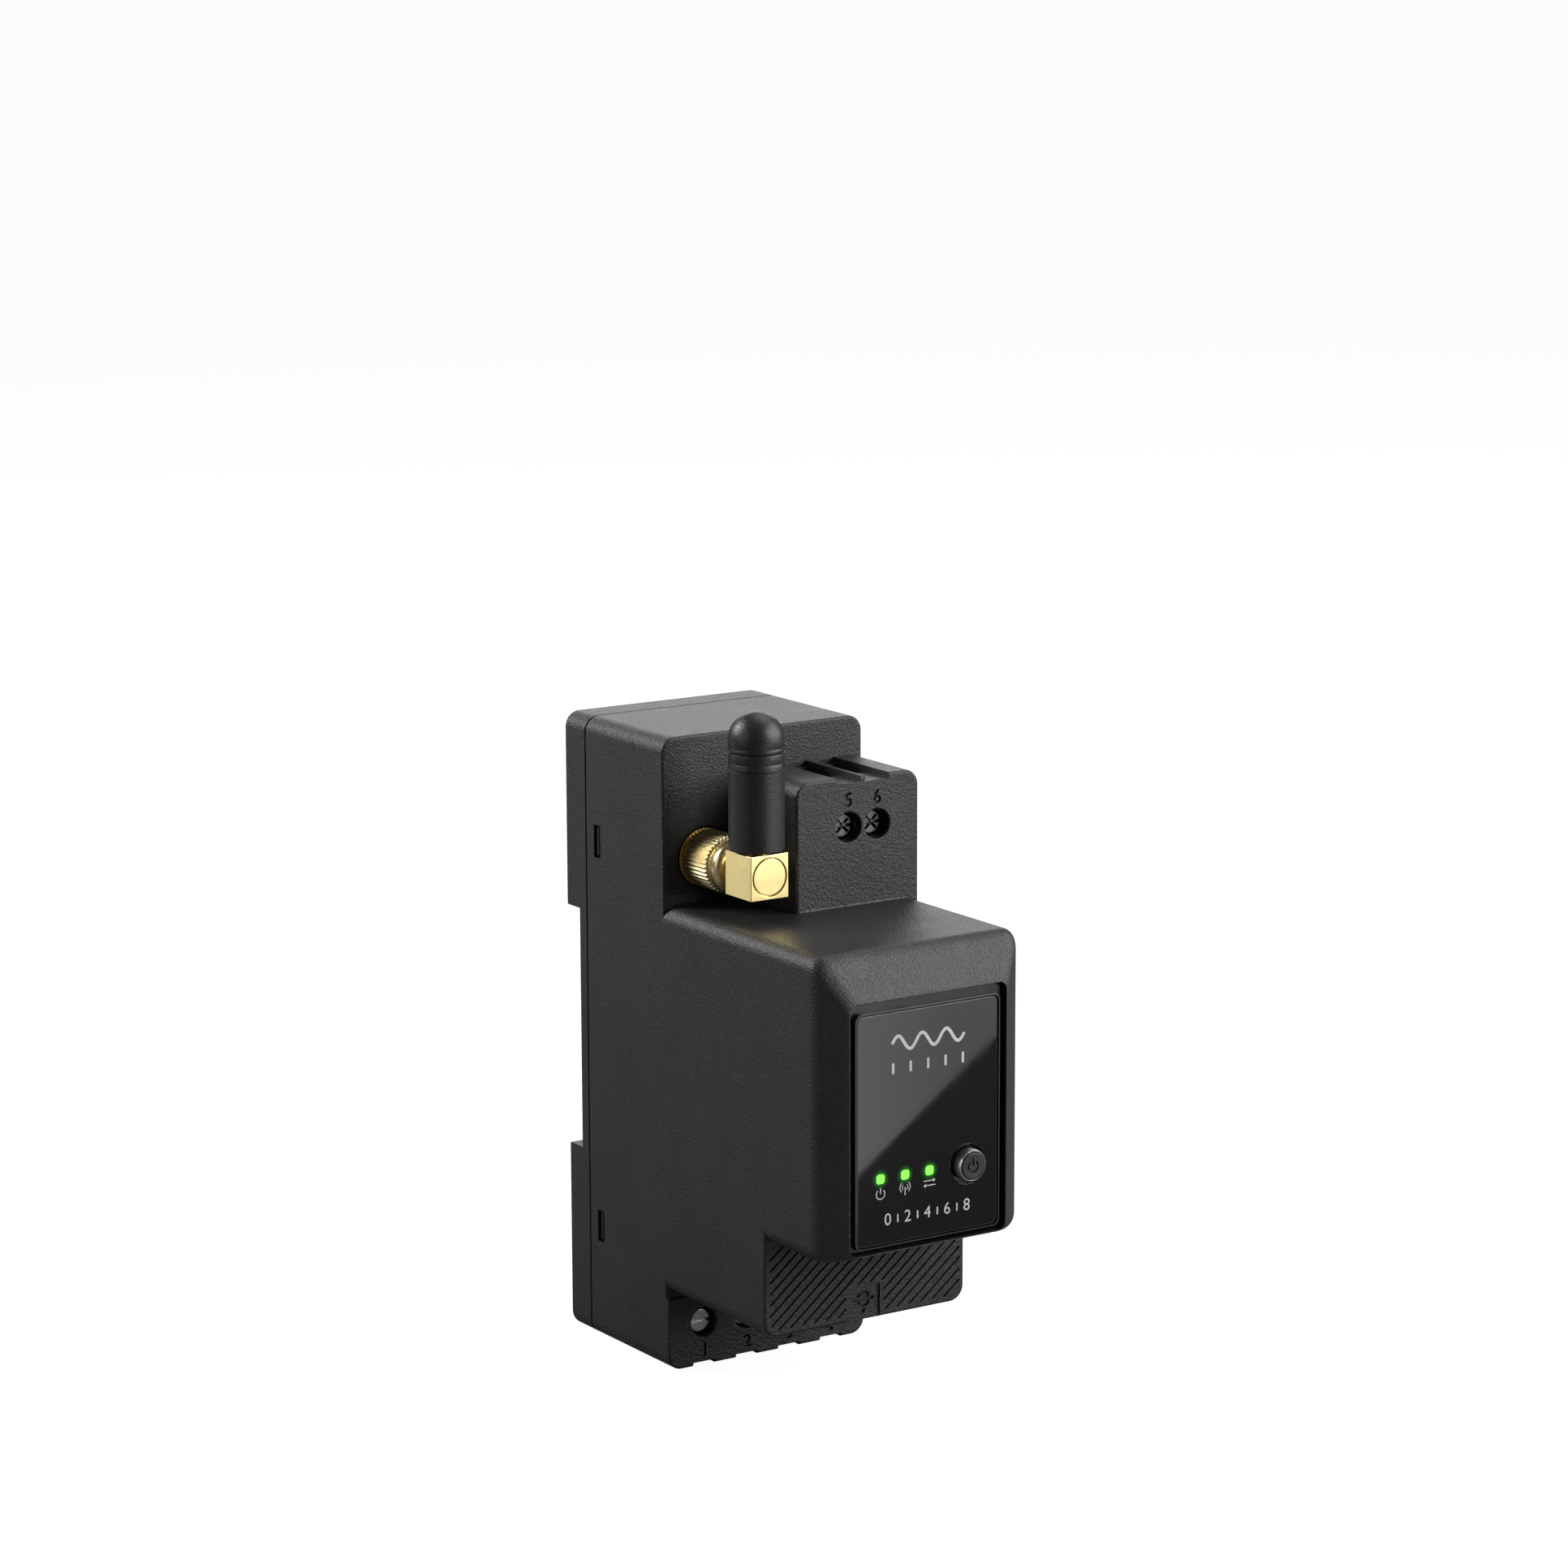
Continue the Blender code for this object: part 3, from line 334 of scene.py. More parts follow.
def flared(box, radii, face, floor, flare):
    """A cutter along Y that opens a recess, and is wider by the flare just inside its mouth."""
    sign = math.copysign(1, floor - face)
    sections = [(inset(box, radii, -flare), face - sign * AMPLE)]
    sections += [
        (inset(box, radii, -flare * (1 - b)), face + sign * flare * a) for a, b in quarter()
    ]
    sections.append((inset(box, radii, 0), floor))
    return loft("Y", *sections)


def flared_hole(x, z, radius, face, floor, flare=0.2 * MM, steps=64):
    """A round cutter along Y with a rounded mouth; the floor lies at +Y from the face."""
    profile = [(radius + flare, face - AMPLE)]
    profile += [(radius + flare * a, face + flare * b) for a, b in quarter(4)[::-1]]
    profile.append((radius, floor))
    return turned("Y", x, z, profile, steps)


def cove(start_x, end_x, y, z, radius, steps=5):
    """The rounded inner corner where a face that looks to -Y stands on one that looks up."""
    sunk = 0.3 * MM
    arc = [math.pi / 2 * i / steps for i in range(steps + 1)]
    points = [(y - radius + radius * math.sin(a), z + radius - radius * math.cos(a)) for a in arc]
    points += [(y + sunk, z + radius), (y + sunk, z - sunk), (y - radius, z - sunk)]
    return prism(points, "X", start_x, end_x)


def mesh_from(name, shapes):
    bm = bmesh.new()
    for shape in shapes:
        shape(bm)
    mesh = bpy.data.meshes.new(name)
    bm.to_mesh(mesh)
    bm.free()
    return mesh


def joins(*shapes):
    """Boolean steps for a piece that add these shapes one by one."""
    return [("UNION", [shape]) for shape in shapes]


def cuts(*shapes):
    """Boolean steps for a piece that take these shapes away one by one."""
    return [("DIFFERENCE", [shape]) for shape in shapes]


def linked(name, data):
    obj = bpy.data.objects.new(name, data)
    bpy.context.scene.collection.objects.link(obj)
    return obj


def with_modifiers_applied(obj):
    """Takes the object's modifiers into its mesh, and tidies what they leave."""
    graph = bpy.context.evaluated_depsgraph_get()
    mesh = bpy.data.meshes.new_from_object(obj.evaluated_get(graph))
    obj.modifiers.clear()
    bm = bmesh.new()
    bm.from_mesh(mesh)
    bmesh.ops.remove_doubles(bm, verts=bm.verts, dist=WELD)
    bmesh.ops.dissolve_degenerate(bm, dist=WELD, edges=bm.edges)
    bm.to_mesh(mesh)
    bm.free()
    mesh.name = obj.name
    obj.data = mesh


def finished(obj, finish, body, nodes=(), angle=35):
    """Gives a visible piece its material, its shading and its place in the model.

    Creases sharper than the angle stay sharp, and broad faces keep their normals beside fillets.
    """
    obj.data.materials.clear()
    obj.data.materials.append(finish)
    obj.data.shade_smooth()
    obj.data.set_sharp_from_angle(angle=math.radians(angle))
    weighted = obj.modifiers.new("weighted_normals", "WEIGHTED_NORMAL")
    weighted.keep_sharp = True
    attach(obj, body)
    if nodes:
        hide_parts(*nodes)
    return obj


def piece(name, shapes, finish, body, nodes=(), steps=(), angle=35):
    """A visible piece: shapes, then (operation, shapes) steps whose own shapes don't overlap."""
    obj = linked(name, mesh_from(name, shapes))
    tools = []
    for operation, others in steps:
        tool = linked(f"{name}_tool", mesh_from(f"{name}_tool", others))
        modifier = obj.modifiers.new("step", "BOOLEAN")
        modifier.operation = operation
        modifier.solver = "EXACT"
        modifier.object = tool
        tools.append(tool)
    if steps:
        with_modifiers_applied(obj)
    for tool in tools:
        bpy.data.objects.remove(tool, do_unlink=True)
    return finished(obj, finish, body, nodes, angle)


def numeral(text, x, z, height, face, depth, bold=0.0):
    """Digits in the XZ plane, centred on (x, z), from depth in front of the face to behind it."""
    capital_share = 0.7

    def add(bm):
        curve = bpy.data.curves.new("numeral", "FONT")
        curve.body = text
        curve.align_x = "CENTER"
        curve.align_y = "CENTER"
        curve.size = height / capital_share
        curve.extrude = depth
        curve.offset = bold
        curve.resolution_u = 4
        holder = linked("numeral", curve)
        graph = bpy.context.evaluated_depsgraph_get()
        mesh = bpy.data.meshes.new_from_object(holder.evaluated_get(graph))
        upright = Matrix.Rotation(math.pi / 2, 4, "X")
        mesh.transform(Matrix.Translation((x, face, z)) @ upright)
        made = bmesh.new()
        made.from_mesh(mesh)
        bmesh.ops.remove_doubles(made, verts=made.verts, dist=WELD)
        bmesh.ops.recalc_face_normals(made, faces=made.faces)
        made.to_mesh(mesh)
        made.free()
        bm.from_mesh(mesh)
        bpy.data.objects.remove(holder, do_unlink=True)
        bpy.data.meshes.remove(mesh)

    return add


# Materials.

NOISE_SPAN = (0.3, 0.7)  # most values of a noise lie between these


class Finish:
    """A Principled material whose grain, tone and roughness come from the piece's coordinates."""

    def __init__(self, name, colour, roughness, metallic=0.0, **sockets):
        self.material = bpy.data.materials.new(name)
        self.material.use_nodes = True
        self.tree = self.material.node_tree
        self.shader = self.tree.nodes["Principled BSDF"]
        self.colour = colour
        self.shader.inputs["Base Color"].default_value = (*colour, 1)
        self.shader.inputs["Roughness"].default_value = roughness
        self.shader.inputs["Metallic"].default_value = metallic
        for socket, value in sockets.items():
            self.shader.inputs[socket].default_value = value
        self.coords = self.node("ShaderNodeTexCoord").outputs["Object"]

    def node(self, kind, sockets=None, **settings):
        """A new node with these settings, and these values in its input sockets."""
        made = self.tree.nodes.new(kind)
        for key, value in settings.items():
            setattr(made, key, value)
        for socket, value in (sockets or {}).items():
            made.inputs[socket].default_value = value
        return made

    def link(self, start, end):
        self.tree.links.new(start, end)

    def noise(self, size, detail=2.0, roughness=0.5):
        """Noise whose features are about this long."""
        mapping = self.node("ShaderNodeMapping", {"Scale": (1 / size,) * 3})
        self.link(self.coords, mapping.inputs["Vector"])
        sockets = {"Scale": 1.0, "Detail": detail, "Roughness": roughness}
        noise = self.node("ShaderNodeTexNoise", sockets)
        self.link(mapping.outputs["Vector"], noise.inputs["Vector"])
        return noise.outputs["Fac"]

    def ranged(self, value, low, high, to_low, to_high):
        sockets = {"From Min": low, "From Max": high, "To Min": to_low, "To Max": to_high}
        ranged = self.node("ShaderNodeMapRange", sockets)
        self.link(value, ranged.inputs["Value"])
        return ranged.outputs["Result"]

    def sum(self, first, second, share=1.0):
        """The first value plus a share of the second."""
        total = self.node("ShaderNodeMath", {1: share}, operation="MULTIPLY_ADD")
        self.link(second, total.inputs[0])
        self.link(first, total.inputs[2])
        return total.outputs["Value"]

    def mixed(self, share, first, second, socket):
        """Leads a colour between two to a socket of the shader."""
        colours = {"A": (*first, 1), "B": (*second, 1)}
        mix = self.node("ShaderNodeMix", colours, data_type="RGBA")
        self.link(share, mix.inputs["Factor"])
        self.link(mix.outputs["Result"], self.shader.inputs[socket])

    def toned(self, value, low, high, darker, lighter):
        """The base colour between a darker and a lighter share of itself."""
        dark = [c * darker for c in self.colour]
        light = [min(c * lighter, 1) for c in self.colour]
        self.mixed(self.ranged(value, low, high, 0, 1), dark, light, "Base Color")

    def rough(self, value, low, high, smooth, coarse):
        ranged = self.ranged(value, low, high, smooth, coarse)
        self.link(ranged, self.shader.inputs["Roughness"])

    def bumped(self, value, height):
        bump = self.node("ShaderNodeBump", {"Distance": height, "Strength": 1.0})
        self.link(value, bump.inputs["Height"])
        self.link(bump.outputs["Normal"], self.shader.inputs["Normal"])


def moulded(name, colour, roughness, grain=0.3, height=0.012, speckle=0.0):
    """Moulded plastic: a fine grain (sizes in mm), slow changes of tone, and rubbed patches."""
    spread = 0.05
    made = Finish(name, colour, roughness)
    slow = made.noise(11 * MM, 3)
    grains = made.noise(grain * MM, 3, roughness=0.6)
    tone = made.sum(slow, grains, speckle)
    low, high = (end + speckle / 2 for end in NOISE_SPAN)
    made.toned(tone, low, high, 0.75, 1.25)
    texture = made.ranged(grains, 0.35, 0.65, roughness + spread, roughness - spread)
    rubbed = made.ranged(made.noise(6 * MM, 4), 0.58, 0.7, 0, 1)
    made.link(made.sum(texture, rubbed, -0.07), made.shader.inputs["Roughness"])
    made.bumped(grains, height * MM)
    return made.material


def plated(name, colour, roughness, spread=0.04):
    """Plated or machined metal: faint marks, slow handling haze, and a few spots worn brighter."""
    made = Finish(name, colour, roughness, 1.0)
    haze = made.noise(9 * MM, 2)
    made.toned(haze, *NOISE_SPAN, 0.98, 1.02)
    worn = made.ranged(made.noise(4 * MM, 3), 0.6, 0.72, 0, 1)
    sheen = made.ranged(haze, *NOISE_SPAN, roughness - spread, roughness + spread)
    made.link(made.sum(sheen, worn, -spread), made.shader.inputs["Roughness"])
    made.bumped(made.noise(0.16 * MM, 1), 0.0004 * MM)
    return made.material


def board_green():
    """Solder mask over a grid of tracks, which show as slightly lighter raised lines."""
    made = Finish("solder_mask_green", (0.012, 0.1, 0.035), 0.38)
    cells = made.node("ShaderNodeTexBrick", {"Scale": 1 / (2.4 * MM), "Mortar Size": 0.05})
    made.link(made.coords, cells.inputs["Vector"])
    tracks = made.ranged(cells.outputs["Fac"], 0, 1, 0, 1)
    made.toned(tracks, 0, 1, 0.9, 1.8)
    made.bumped(tracks, 0.03 * MM)
    made.rough(made.noise(0.8 * MM), *NOISE_SPAN, 0.3, 0.46)
    return made.material


def glowing(name, colour, strength):
    """A lamp window whose frosted face glows in a slightly uneven tone."""
    made = Finish(name, colour, 0.35)
    made.shader.inputs["Emission Strength"].default_value = strength
    frost = made.noise(0.12 * MM)
    dim = [0.8 * c for c in colour]
    made.mixed(made.ranged(frost, *NOISE_SPAN, 0, 1), dim, colour, "Emission Color")
    made.bumped(frost, 0.004 * MM)
    made.rough(frost, *NOISE_SPAN, 0.3, 0.42)
    return made.material


def panel_glass():
    """Back-printed glass: almost black, polished, with faint haze and a soft glow by each lamp."""
    made = Finish("panel_glass_black", (0.003, 0.003, 0.0032), 0.04, IOR=1.5)
    haze = made.noise(6 * MM, 3)
    made.toned(haze, *NOISE_SPAN, 0.85, 1.15)
    made.rough(haze, *NOISE_SPAN, 0.02, 0.05)
    made.bumped(made.noise(14 * MM, 1), 0.002 * MM)
    halo = None
    for x in LAMP_X:
        lamp = (x, GLASS_LOW.y, LAMP_Z)
        apart = made.node("ShaderNodeVectorMath", {1: lamp}, operation="DISTANCE")
        made.link(made.coords, apart.inputs[0])
        near = made.ranged(apart.outputs["Value"], 0.6 * MM, 1.8 * MM, 1, 0)
        soft = made.node("ShaderNodeMath", {1: 3.0}, operation="POWER")
        made.link(near, soft.inputs[0])
        glow = soft.outputs["Value"]
        halo = made.sum(halo, glow) if halo else glow
    made.mixed(halo, (0, 0, 0), (0.02, 0.3, 0.01), "Emission Color")
    made.shader.inputs["Emission Strength"].default_value = 1.0
    return made.material


CASE_BLACK = moulded("moulded_black", (0.0135, 0.0135, 0.0137), 0.44, 0.34, 0.15, speckle=2.2)
CLIP_BLACK = moulded("clip_black", (0.026, 0.026, 0.028), 0.45, height=0.008)
TRIM_BLACK = moulded("trim_black", (0.012, 0.012, 0.013), 0.32, height=0.003)
RUBBER = moulded("antenna_rubber", (0.01, 0.01, 0.01), 0.4, 0.34, 0.06, speckle=1.8)
TERMINAL_GREY = moulded("terminal_plastic", (0.03, 0.031, 0.034), 0.5)
CHIP_BLACK = moulded("chip_epoxy", (0.02, 0.02, 0.021), 0.55, grain=0.12)
BUTTON_GREY = moulded("button_grey", (0.014, 0.014, 0.0145), 0.42, grain=0.2, height=0.004)
CABLE_BLACK = moulded("cable_sheath", (0.014, 0.014, 0.014), 0.45, grain=0.1, height=0.006)
GOLD = plated("gold_plating", (0.97, 0.79, 0.36), 0.25, spread=0.03)
# The same gold plating made darker and duller: painted shade on the knurled nut.
SHADED_GOLD_KNURL = plated("gold_knurl_painted_shade", (0.66, 0.54, 0.29), 0.28)
CHROME = plated("chrome_plating", (0.85, 0.85, 0.87), 0.3, spread=0.03)
STEEL = plated("nickelled_steel", (0.66, 0.65, 0.63), 0.3, spread=0.08)
DARK_STEEL = plated("blackened_steel", (0.13, 0.13, 0.135), 0.36, spread=0.07)
COPPER = plated("tinned_copper", (0.74, 0.64, 0.54), 0.34)
BOARD = board_green()
TAPE = moulded("winding_tape", (0.72, 0.52, 0.06), 0.45, grain=0.5)
SLEEVE_BLUE = moulded("capacitor_sleeve", (0.02, 0.035, 0.13), 0.3, grain=0.15, height=0.004)
VARISTOR_BLUE = moulded("varistor_coating", (0.03, 0.1, 0.38), 0.42, grain=0.6)
CERAMIC = moulded("fuse_ceramic", (0.78, 0.76, 0.7), 0.4, grain=0.15)
CLEAR = moulded("light_guide_clear", (0.75, 0.8, 0.77), 0.12, height=0.002)
INK = moulded("panel_ink", (0.5, 0.5, 0.505), 0.5, grain=0.06, height=0.002)
LAMP = glowing("lamp_green", (0.2, 0.95, 0.07), 0.9)
GLASS = panel_glass()
GLASS_EDGE = moulded("ground_glass_edge", (0.09, 0.09, 0.092), 0.36, grain=0.1, height=0.003)


# The casing.


def head_shape():
    """The head's sides, and the facets that rise from them to the rim with soft ridges between."""
    sides = rounded(*ACROSS, HEAD_BOTTOM, HEAD_TOP, ALL_CORNERS)
    half = RIM_X + RIM_EDGE
    rim_corner = 1.7 * MM
    rim_z = (RIM_BOTTOM - RIM_EDGE, RIM_TOP + RIM_EDGE)
    rim = rounded(-half, half, *rim_z, (rim_corner,) * 4)
    depth = RIM_FACE - HEAD_EDGE

    def eased(start, corner, end, steps=8):
        start, corner, end = Vector(start), Vector(corner), Vector(end)
        shares = [i / steps for i in range(steps + 1)]
        return [start.lerp(corner, t).lerp(corner.lerp(end, t), t) for t in shares]

    # Each pair is the share of the way from the sides to the rim, and the place along Y.
    ridge = 0.3
    crest = 0.76
    profile = [Vector((0, BEHIND))]
    profile += eased((0, HEAD_EDGE + 1.3 * MM), (0, HEAD_EDGE), (ridge, HEAD_EDGE + ridge * depth))
    profile += eased((crest, HEAD_EDGE + crest * depth), (1, RIM_FACE), (1.03, RIM_FACE))
    sections = []
    for share, y in profile:
        outline = [tuple(Vector(a).lerp(Vector(b), share)) for a, b in zip(sides, rim)]
        sections.append((outline, y))
    return loft("Y", *sections)


def inside_stripes(x, z):
    """Whether a point of the lower front face lies in its striped field, clear of the tab."""
    low_x, high_x = STRIPE_X
    low_z, high_z = STRIPE_Z
    if not (low_x < x < high_x and low_z < z < high_z):
        return False
    if TAB_CLEAR_X[0] < x < TAB_CLEAR_X[1] and z < TAB_CLEAR_TOP:
        return False
    for centre, side in ((low_x + STRIPE_CORNER, -1), (high_x - STRIPE_CORNER, 1)):
        if side * (x - centre) > 0 and z < low_z + STRIPE_CORNER:
            return math.hypot(x - centre, z - low_z - STRIPE_CORNER) < STRIPE_CORNER
    return True


def stripes():
    """Slanted grooves across the lower front face, cut off where its field ends."""
    pitch = 2.125 * MM
    first_x = 3.53 * MM
    slope = math.radians(38.9)
    width = 0.36 * MM
    depth = 0.3 * MM
    step = 0.05 * MM
    trim = 4  # steps from where a groove ends to the middle of its round end
    shortest = 0.8 * MM
    longest = 30 * MM
    heading = Vector((math.cos(slope), math.sin(slope)))
    made = []
    for i in range(-16, 9):
        start = Vector((first_x + i * pitch, STRIPE_Z[0]))
        run = []
        for k in range(int(longest / step)):
            point = start + heading * (k * step)
            if inside_stripes(*point):
                run.append(point)
                continue
            if len(run) * step > shortest:
                groove = stadium(run[trim], run[-1 - trim], width)
                made.append(prism(groove, "Y", CT_FACE - AMPLE, CT_FACE + depth))
            run = []
    return made


def front_case():
    """The stepped shell: blocks joined, then hollowed, opened, grooved and engraved."""
    lap = 4 * MM
    within = (-INSIDE, INSIDE)
    back = cushioned((*ACROSS, BOTTOM, TOP), ALL_CORNERS, HOUSING_REAR, SHOULDER, EDGE, 0.12 * MM)
    terminal = cushioned((*ACROSS, BOTTOM, TERMINAL_ROOF), LOW_CORNERS, BEHIND, TERMINAL_FACE, EDGE)
    lower_box = (*ACROSS, CT_BOTTOM, HEAD_BOTTOM + lap)
    lower = cushioned(lower_box, LOW_CORNERS, BEHIND, CT_FACE, EDGE)
    data_box = (DATA_LEFT, HALF_WIDTH, HEAD_TOP - lap, DATA_TOP)
    data = cushioned(data_box, HIGH_CORNERS, BEHIND, DATA_FACE, EDGE)
    data_cove = cove(DATA_LEFT + EDGE, HALF_WIDTH - CORNER, DATA_FACE, HEAD_TOP, 0.35 * MM)
    back_cove = cove(CORNER - HALF_WIDTH, DATA_LEFT + 0.2 * MM, SHOULDER, HEAD_TOP, 0.5 * MM)
    joined = [head_shape(), lower, terminal, data, data_cove, back_cove]

    data_within = (DATA_LEFT + WALL, INSIDE)
    cavities = [
        block(within, (SHOULDER + WALL, 0), (BOTTOM + WALL, TOP - WALL)),
        block(within, (TERMINAL_FACE + WALL, BEHIND), (BOTTOM + WALL, TERMINAL_ROOF)),
        block(within, (HEAD_CAVITY, BEHIND), (HEAD_BOTTOM + WALL, HEAD_TOP - WALL)),
        block(within, (CT_FACE + WALL, BEHIND), (CT_BOTTOM + WALL, HEAD_BOTTOM + 3 * MM)),
        block(data_within, (DATA_FACE + WALL, BEHIND), (HEAD_TOP - 3 * MM, DATA_TOP - WALL)),
    ]
    rim = (-RIM_X, RIM_X, RIM_BOTTOM, RIM_TOP)
    recess = flared(rim, (1.3 * MM,) * 4, RIM_FACE, RECESS_FLOOR, 0.1 * MM)
    window_y = (RECESS_FLOOR - AMPLE, HEAD_CAVITY + AMPLE)
    window = block((-11.5 * MM, 11.5 * MM), window_y, (-20 * MM, 12.5 * MM))

    insert = grown(INSERT_LOW, INSERT_HIGH, FINE_GAP)
    through = SHOULDER + WALL + AMPLE
    openings = [flared(insert, (1.3 * MM,) * 4, SHOULDER, through, 0.03 * MM)]
    for side in (-1, 1):
        for z in SNAP_Z:
            reach = sorted((side * (INSIDE - AMPLE), side * (HALF_WIDTH + AMPLE)))
            snap = rounded(*WINDOW_Y, z - WINDOW_HALF, z + WINDOW_HALF, (0.2 * MM,) * 4, 4)
            openings.append(prism(snap, "X", *reach))
    channels = []
    mouths = []
    for x in TERMINAL_X:
        through = TERMINAL_FACE + WALL + AMPLE
        openings.append(flared_hole(x, TERMINAL_Z, SCREW_HOLE, TERMINAL_FACE, through))
        entry = rounded(x - 2.6 * MM, x + 2.6 * MM, *ENTRY_Y, (0.4 * MM,) * 4, 4)
        mouths.append(prism(entry, "Z", BOTTOM - AMPLE, BOTTOM + WALL + AMPLE))
        notch = ((x - 2 * MM, x + 2 * MM), (TERMINAL_FACE - AMPLE, ENTRY_Y[0] + 0.5 * MM))
        channels.append(block(*notch, (BOTTOM - AMPLE, BOTTOM + 0.6 * MM)))
    for x in DATA_X:
        through = DATA_FACE + WALL + AMPLE
        openings.append(flared_hole(x, DATA_Z, SCREW_HOLE, DATA_FACE, through))
        channel = (x - DATA_CHANNEL, x + DATA_CHANNEL)
        shallow = (DATA_TOP - DATA_CHANNEL_DEPTH, DATA_TOP + AMPLE)
        channels.append(block(channel, (DATA_FACE - AMPLE, SHOULDER - FINE_GAP), shallow))
        mouths.append(block(channel, DATA_MOUTH, (DATA_TOP - WALL - AMPLE, DATA_TOP)))
    socket_x = SOCKET_HIGH.x + GAP
    socket_y = (SOCKET_LOW.y - GAP, SOCKET_HIGH.y + GAP)
    socket = rounded(-socket_x, socket_x, *socket_y, (0.5 * MM,) * 4, 4)
    openings.append(prism(socket, "Z", CT_BOTTOM - AMPLE, CT_BOTTOM + WALL + AMPLE))
    tab = block(TAB_X, (CT_FACE - AMPLE, CT_FACE + GAP), (CT_BOTTOM - AMPLE, TAB_TOP))

    steps = joins(*joined) + cuts(*cavities, recess, window)
    for shapes in (openings, channels, mouths, [tab], stripes(), case_engravings()):
        steps.append(("DIFFERENCE", shapes))
    piece("front_case", [back], CASE_BLACK, "housing", ["front_housing"], steps)


def case_engravings():
    """Numbers by the screws, and the ring-and-arrow sign on the tab over the CT sockets."""
    depth = 0.45 * MM
    bold = 0.05 * MM
    made = []
    for i, x in enumerate(TERMINAL_X, 1):
        place = (x + 0.1 * MM, -47.65 * MM)
        made.append(numeral(str(i), *place, 2.0 * MM, TERMINAL_FACE, depth, bold))
    for i, x in enumerate(DATA_X, 5):
        made.append(numeral(str(i), x, 38.4 * MM, 2.1 * MM, DATA_FACE, depth, bold))
    x, z = -0.25 * MM, -34.75 * MM
    width = 0.5 * MM
    bar = 1.7 * MM
    sign = [band(x, z, 1.05 * MM, width, start, start + 140) for start in (20, 200)]
    sign.append(stadium((x - bar, z), (x + bar, z), width))
    half, high, low = 0.55 * MM, -36.3 * MM, -37.1 * MM
    sign.append([(x - half, high), (x, low), (x + half, high)])
    floor = CT_FACE + GAP
    made += [prism(outline, "Y", floor - 0.2 * MM, floor + 0.4 * MM) for outline in sign]
    return made


def rear_case():
    """The back plate with blocks above and below the rail, hooks, clip guide and snap hooks."""
    edge = 0.7 * MM
    plate = cushioned((*ACROSS, BOTTOM, TOP), ALL_CORNERS, 0, COVER_FRONT, 0.12 * MM)
    upper = cushioned((*ACROSS, RAIL_TOP, TOP), HIGH_CORNERS, -AMPLE, BACK, edge)
    lower = cushioned((*ACROSS, BOTTOM, RAIL_BOTTOM), LOW_CORNERS, -AMPLE, BACK, edge)
    joined = [upper, lower]
    hollows = []
    hook_y = 1.4 * MM
    hook_z = (RAIL_TOP - 1.7 * MM, RAIL_TOP + AMPLE)
    for side in (-1, 1):
        low_x, high_x = sorted((side * 4 * MM, side * 14 * MM))
        pocket_z = (hook_z[0] - GAP, RAIL_TOP + GAP)
        hollows.append(block((low_x - GAP, high_x + GAP), (-0.5 * MM, hook_y - GAP), pocket_z))
        hook = rounded(hook_y, BACK, *hook_z, (0.5 * MM, 0.9 * MM, 0, 0), 5)
        joined.append(prism(hook, "X", low_x, high_x))
    guide = CLIP_HIGH.x + GAP
    mouth = 8.0 * MM + GAP
    pocket = 16 * MM
    clip_z = (BOTTOM - AMPLE, RAIL_BOTTOM + AMPLE)
    hollow_z = (RAIL_TOP + WALL, TOP - WALL)
    hollows.append(block((-guide, guide), (GAP, 2.05 * MM + GAP), clip_z))
    hollows.append(block((-mouth, mouth), (GAP + AMPLE / 2, BACK + AMPLE), clip_z))
    hollows.append(block((-pocket, pocket), (COVER_FRONT - AMPLE, BACK - WALL), hollow_z))
    post_y = (GAP - AMPLE, CLIP_HIGH.y - 0.8 * MM)
    post = block((-1.6 * MM, 1.6 * MM), post_y, (-43.6 * MM, -42.6 * MM))
    arm_outer = HALF_WIDTH - WALL - GAP
    arm_inner = arm_outer - 1.2 * MM
    front, rear = WINDOW_Y[0] + GAP, WINDOW_Y[1] - GAP
    arms = []
    hooks = []
    for side in (-1, 1):
        for z in SNAP_Z:
            arm_z = (z - 2.2 * MM, z + 2.2 * MM)
            arm_x = sorted((side * arm_inner, side * arm_outer))
            tail = COVER_FRONT + AMPLE if z < 0 else BACK - WALL + AMPLE
            arms.append(block(arm_x, (WINDOW_Y[0] - 0.5 * MM, tail), arm_z))
            tip = side * (HALF_WIDTH - 0.4 * MM)
            root = side * (arm_outer - AMPLE / 2)
            wedge = [(root, front), (side * arm_outer, front)]
            wedge += [(tip, rear - 0.5 * MM), (tip, rear), (root, rear)]
            hooks.append(prism(wedge if side > 0 else wedge[::-1], "Z", *arm_z))
    steps = joins(*joined) + cuts(*hollows) + joins(post)
    steps += [("UNION", arms), ("UNION", hooks)]
    piece("rear_case", [plate], CASE_BLACK, "housing", ["rear_cover"], steps)


def antenna_insert():
    """The removable plate that carries the antenna jack, flush with the shoulder."""
    box = grown(INSERT_LOW, INSERT_HIGH, 0.09 * MM)
    plate = cushioned(box, (1.24 * MM,) * 4, INSERT_HIGH.y, INSERT_LOW.y, 0.03 * MM)
    centre = (ANTENNA_X, ANTENNA_Z)
    counterbore = rod("Y", *centre, 4.75 * MM, SHOULDER - AMPLE, SHOULDER + 1 * MM)
    bore = rod("Y", *centre, JACK_BORE, SHOULDER, SHOULDER + WALL + AMPLE)
    steps = cuts(counterbore, bore)
    piece("antenna_insert", [plate], CASE_BLACK, "housing", ["antenna_panel"], steps)


# The antenna.


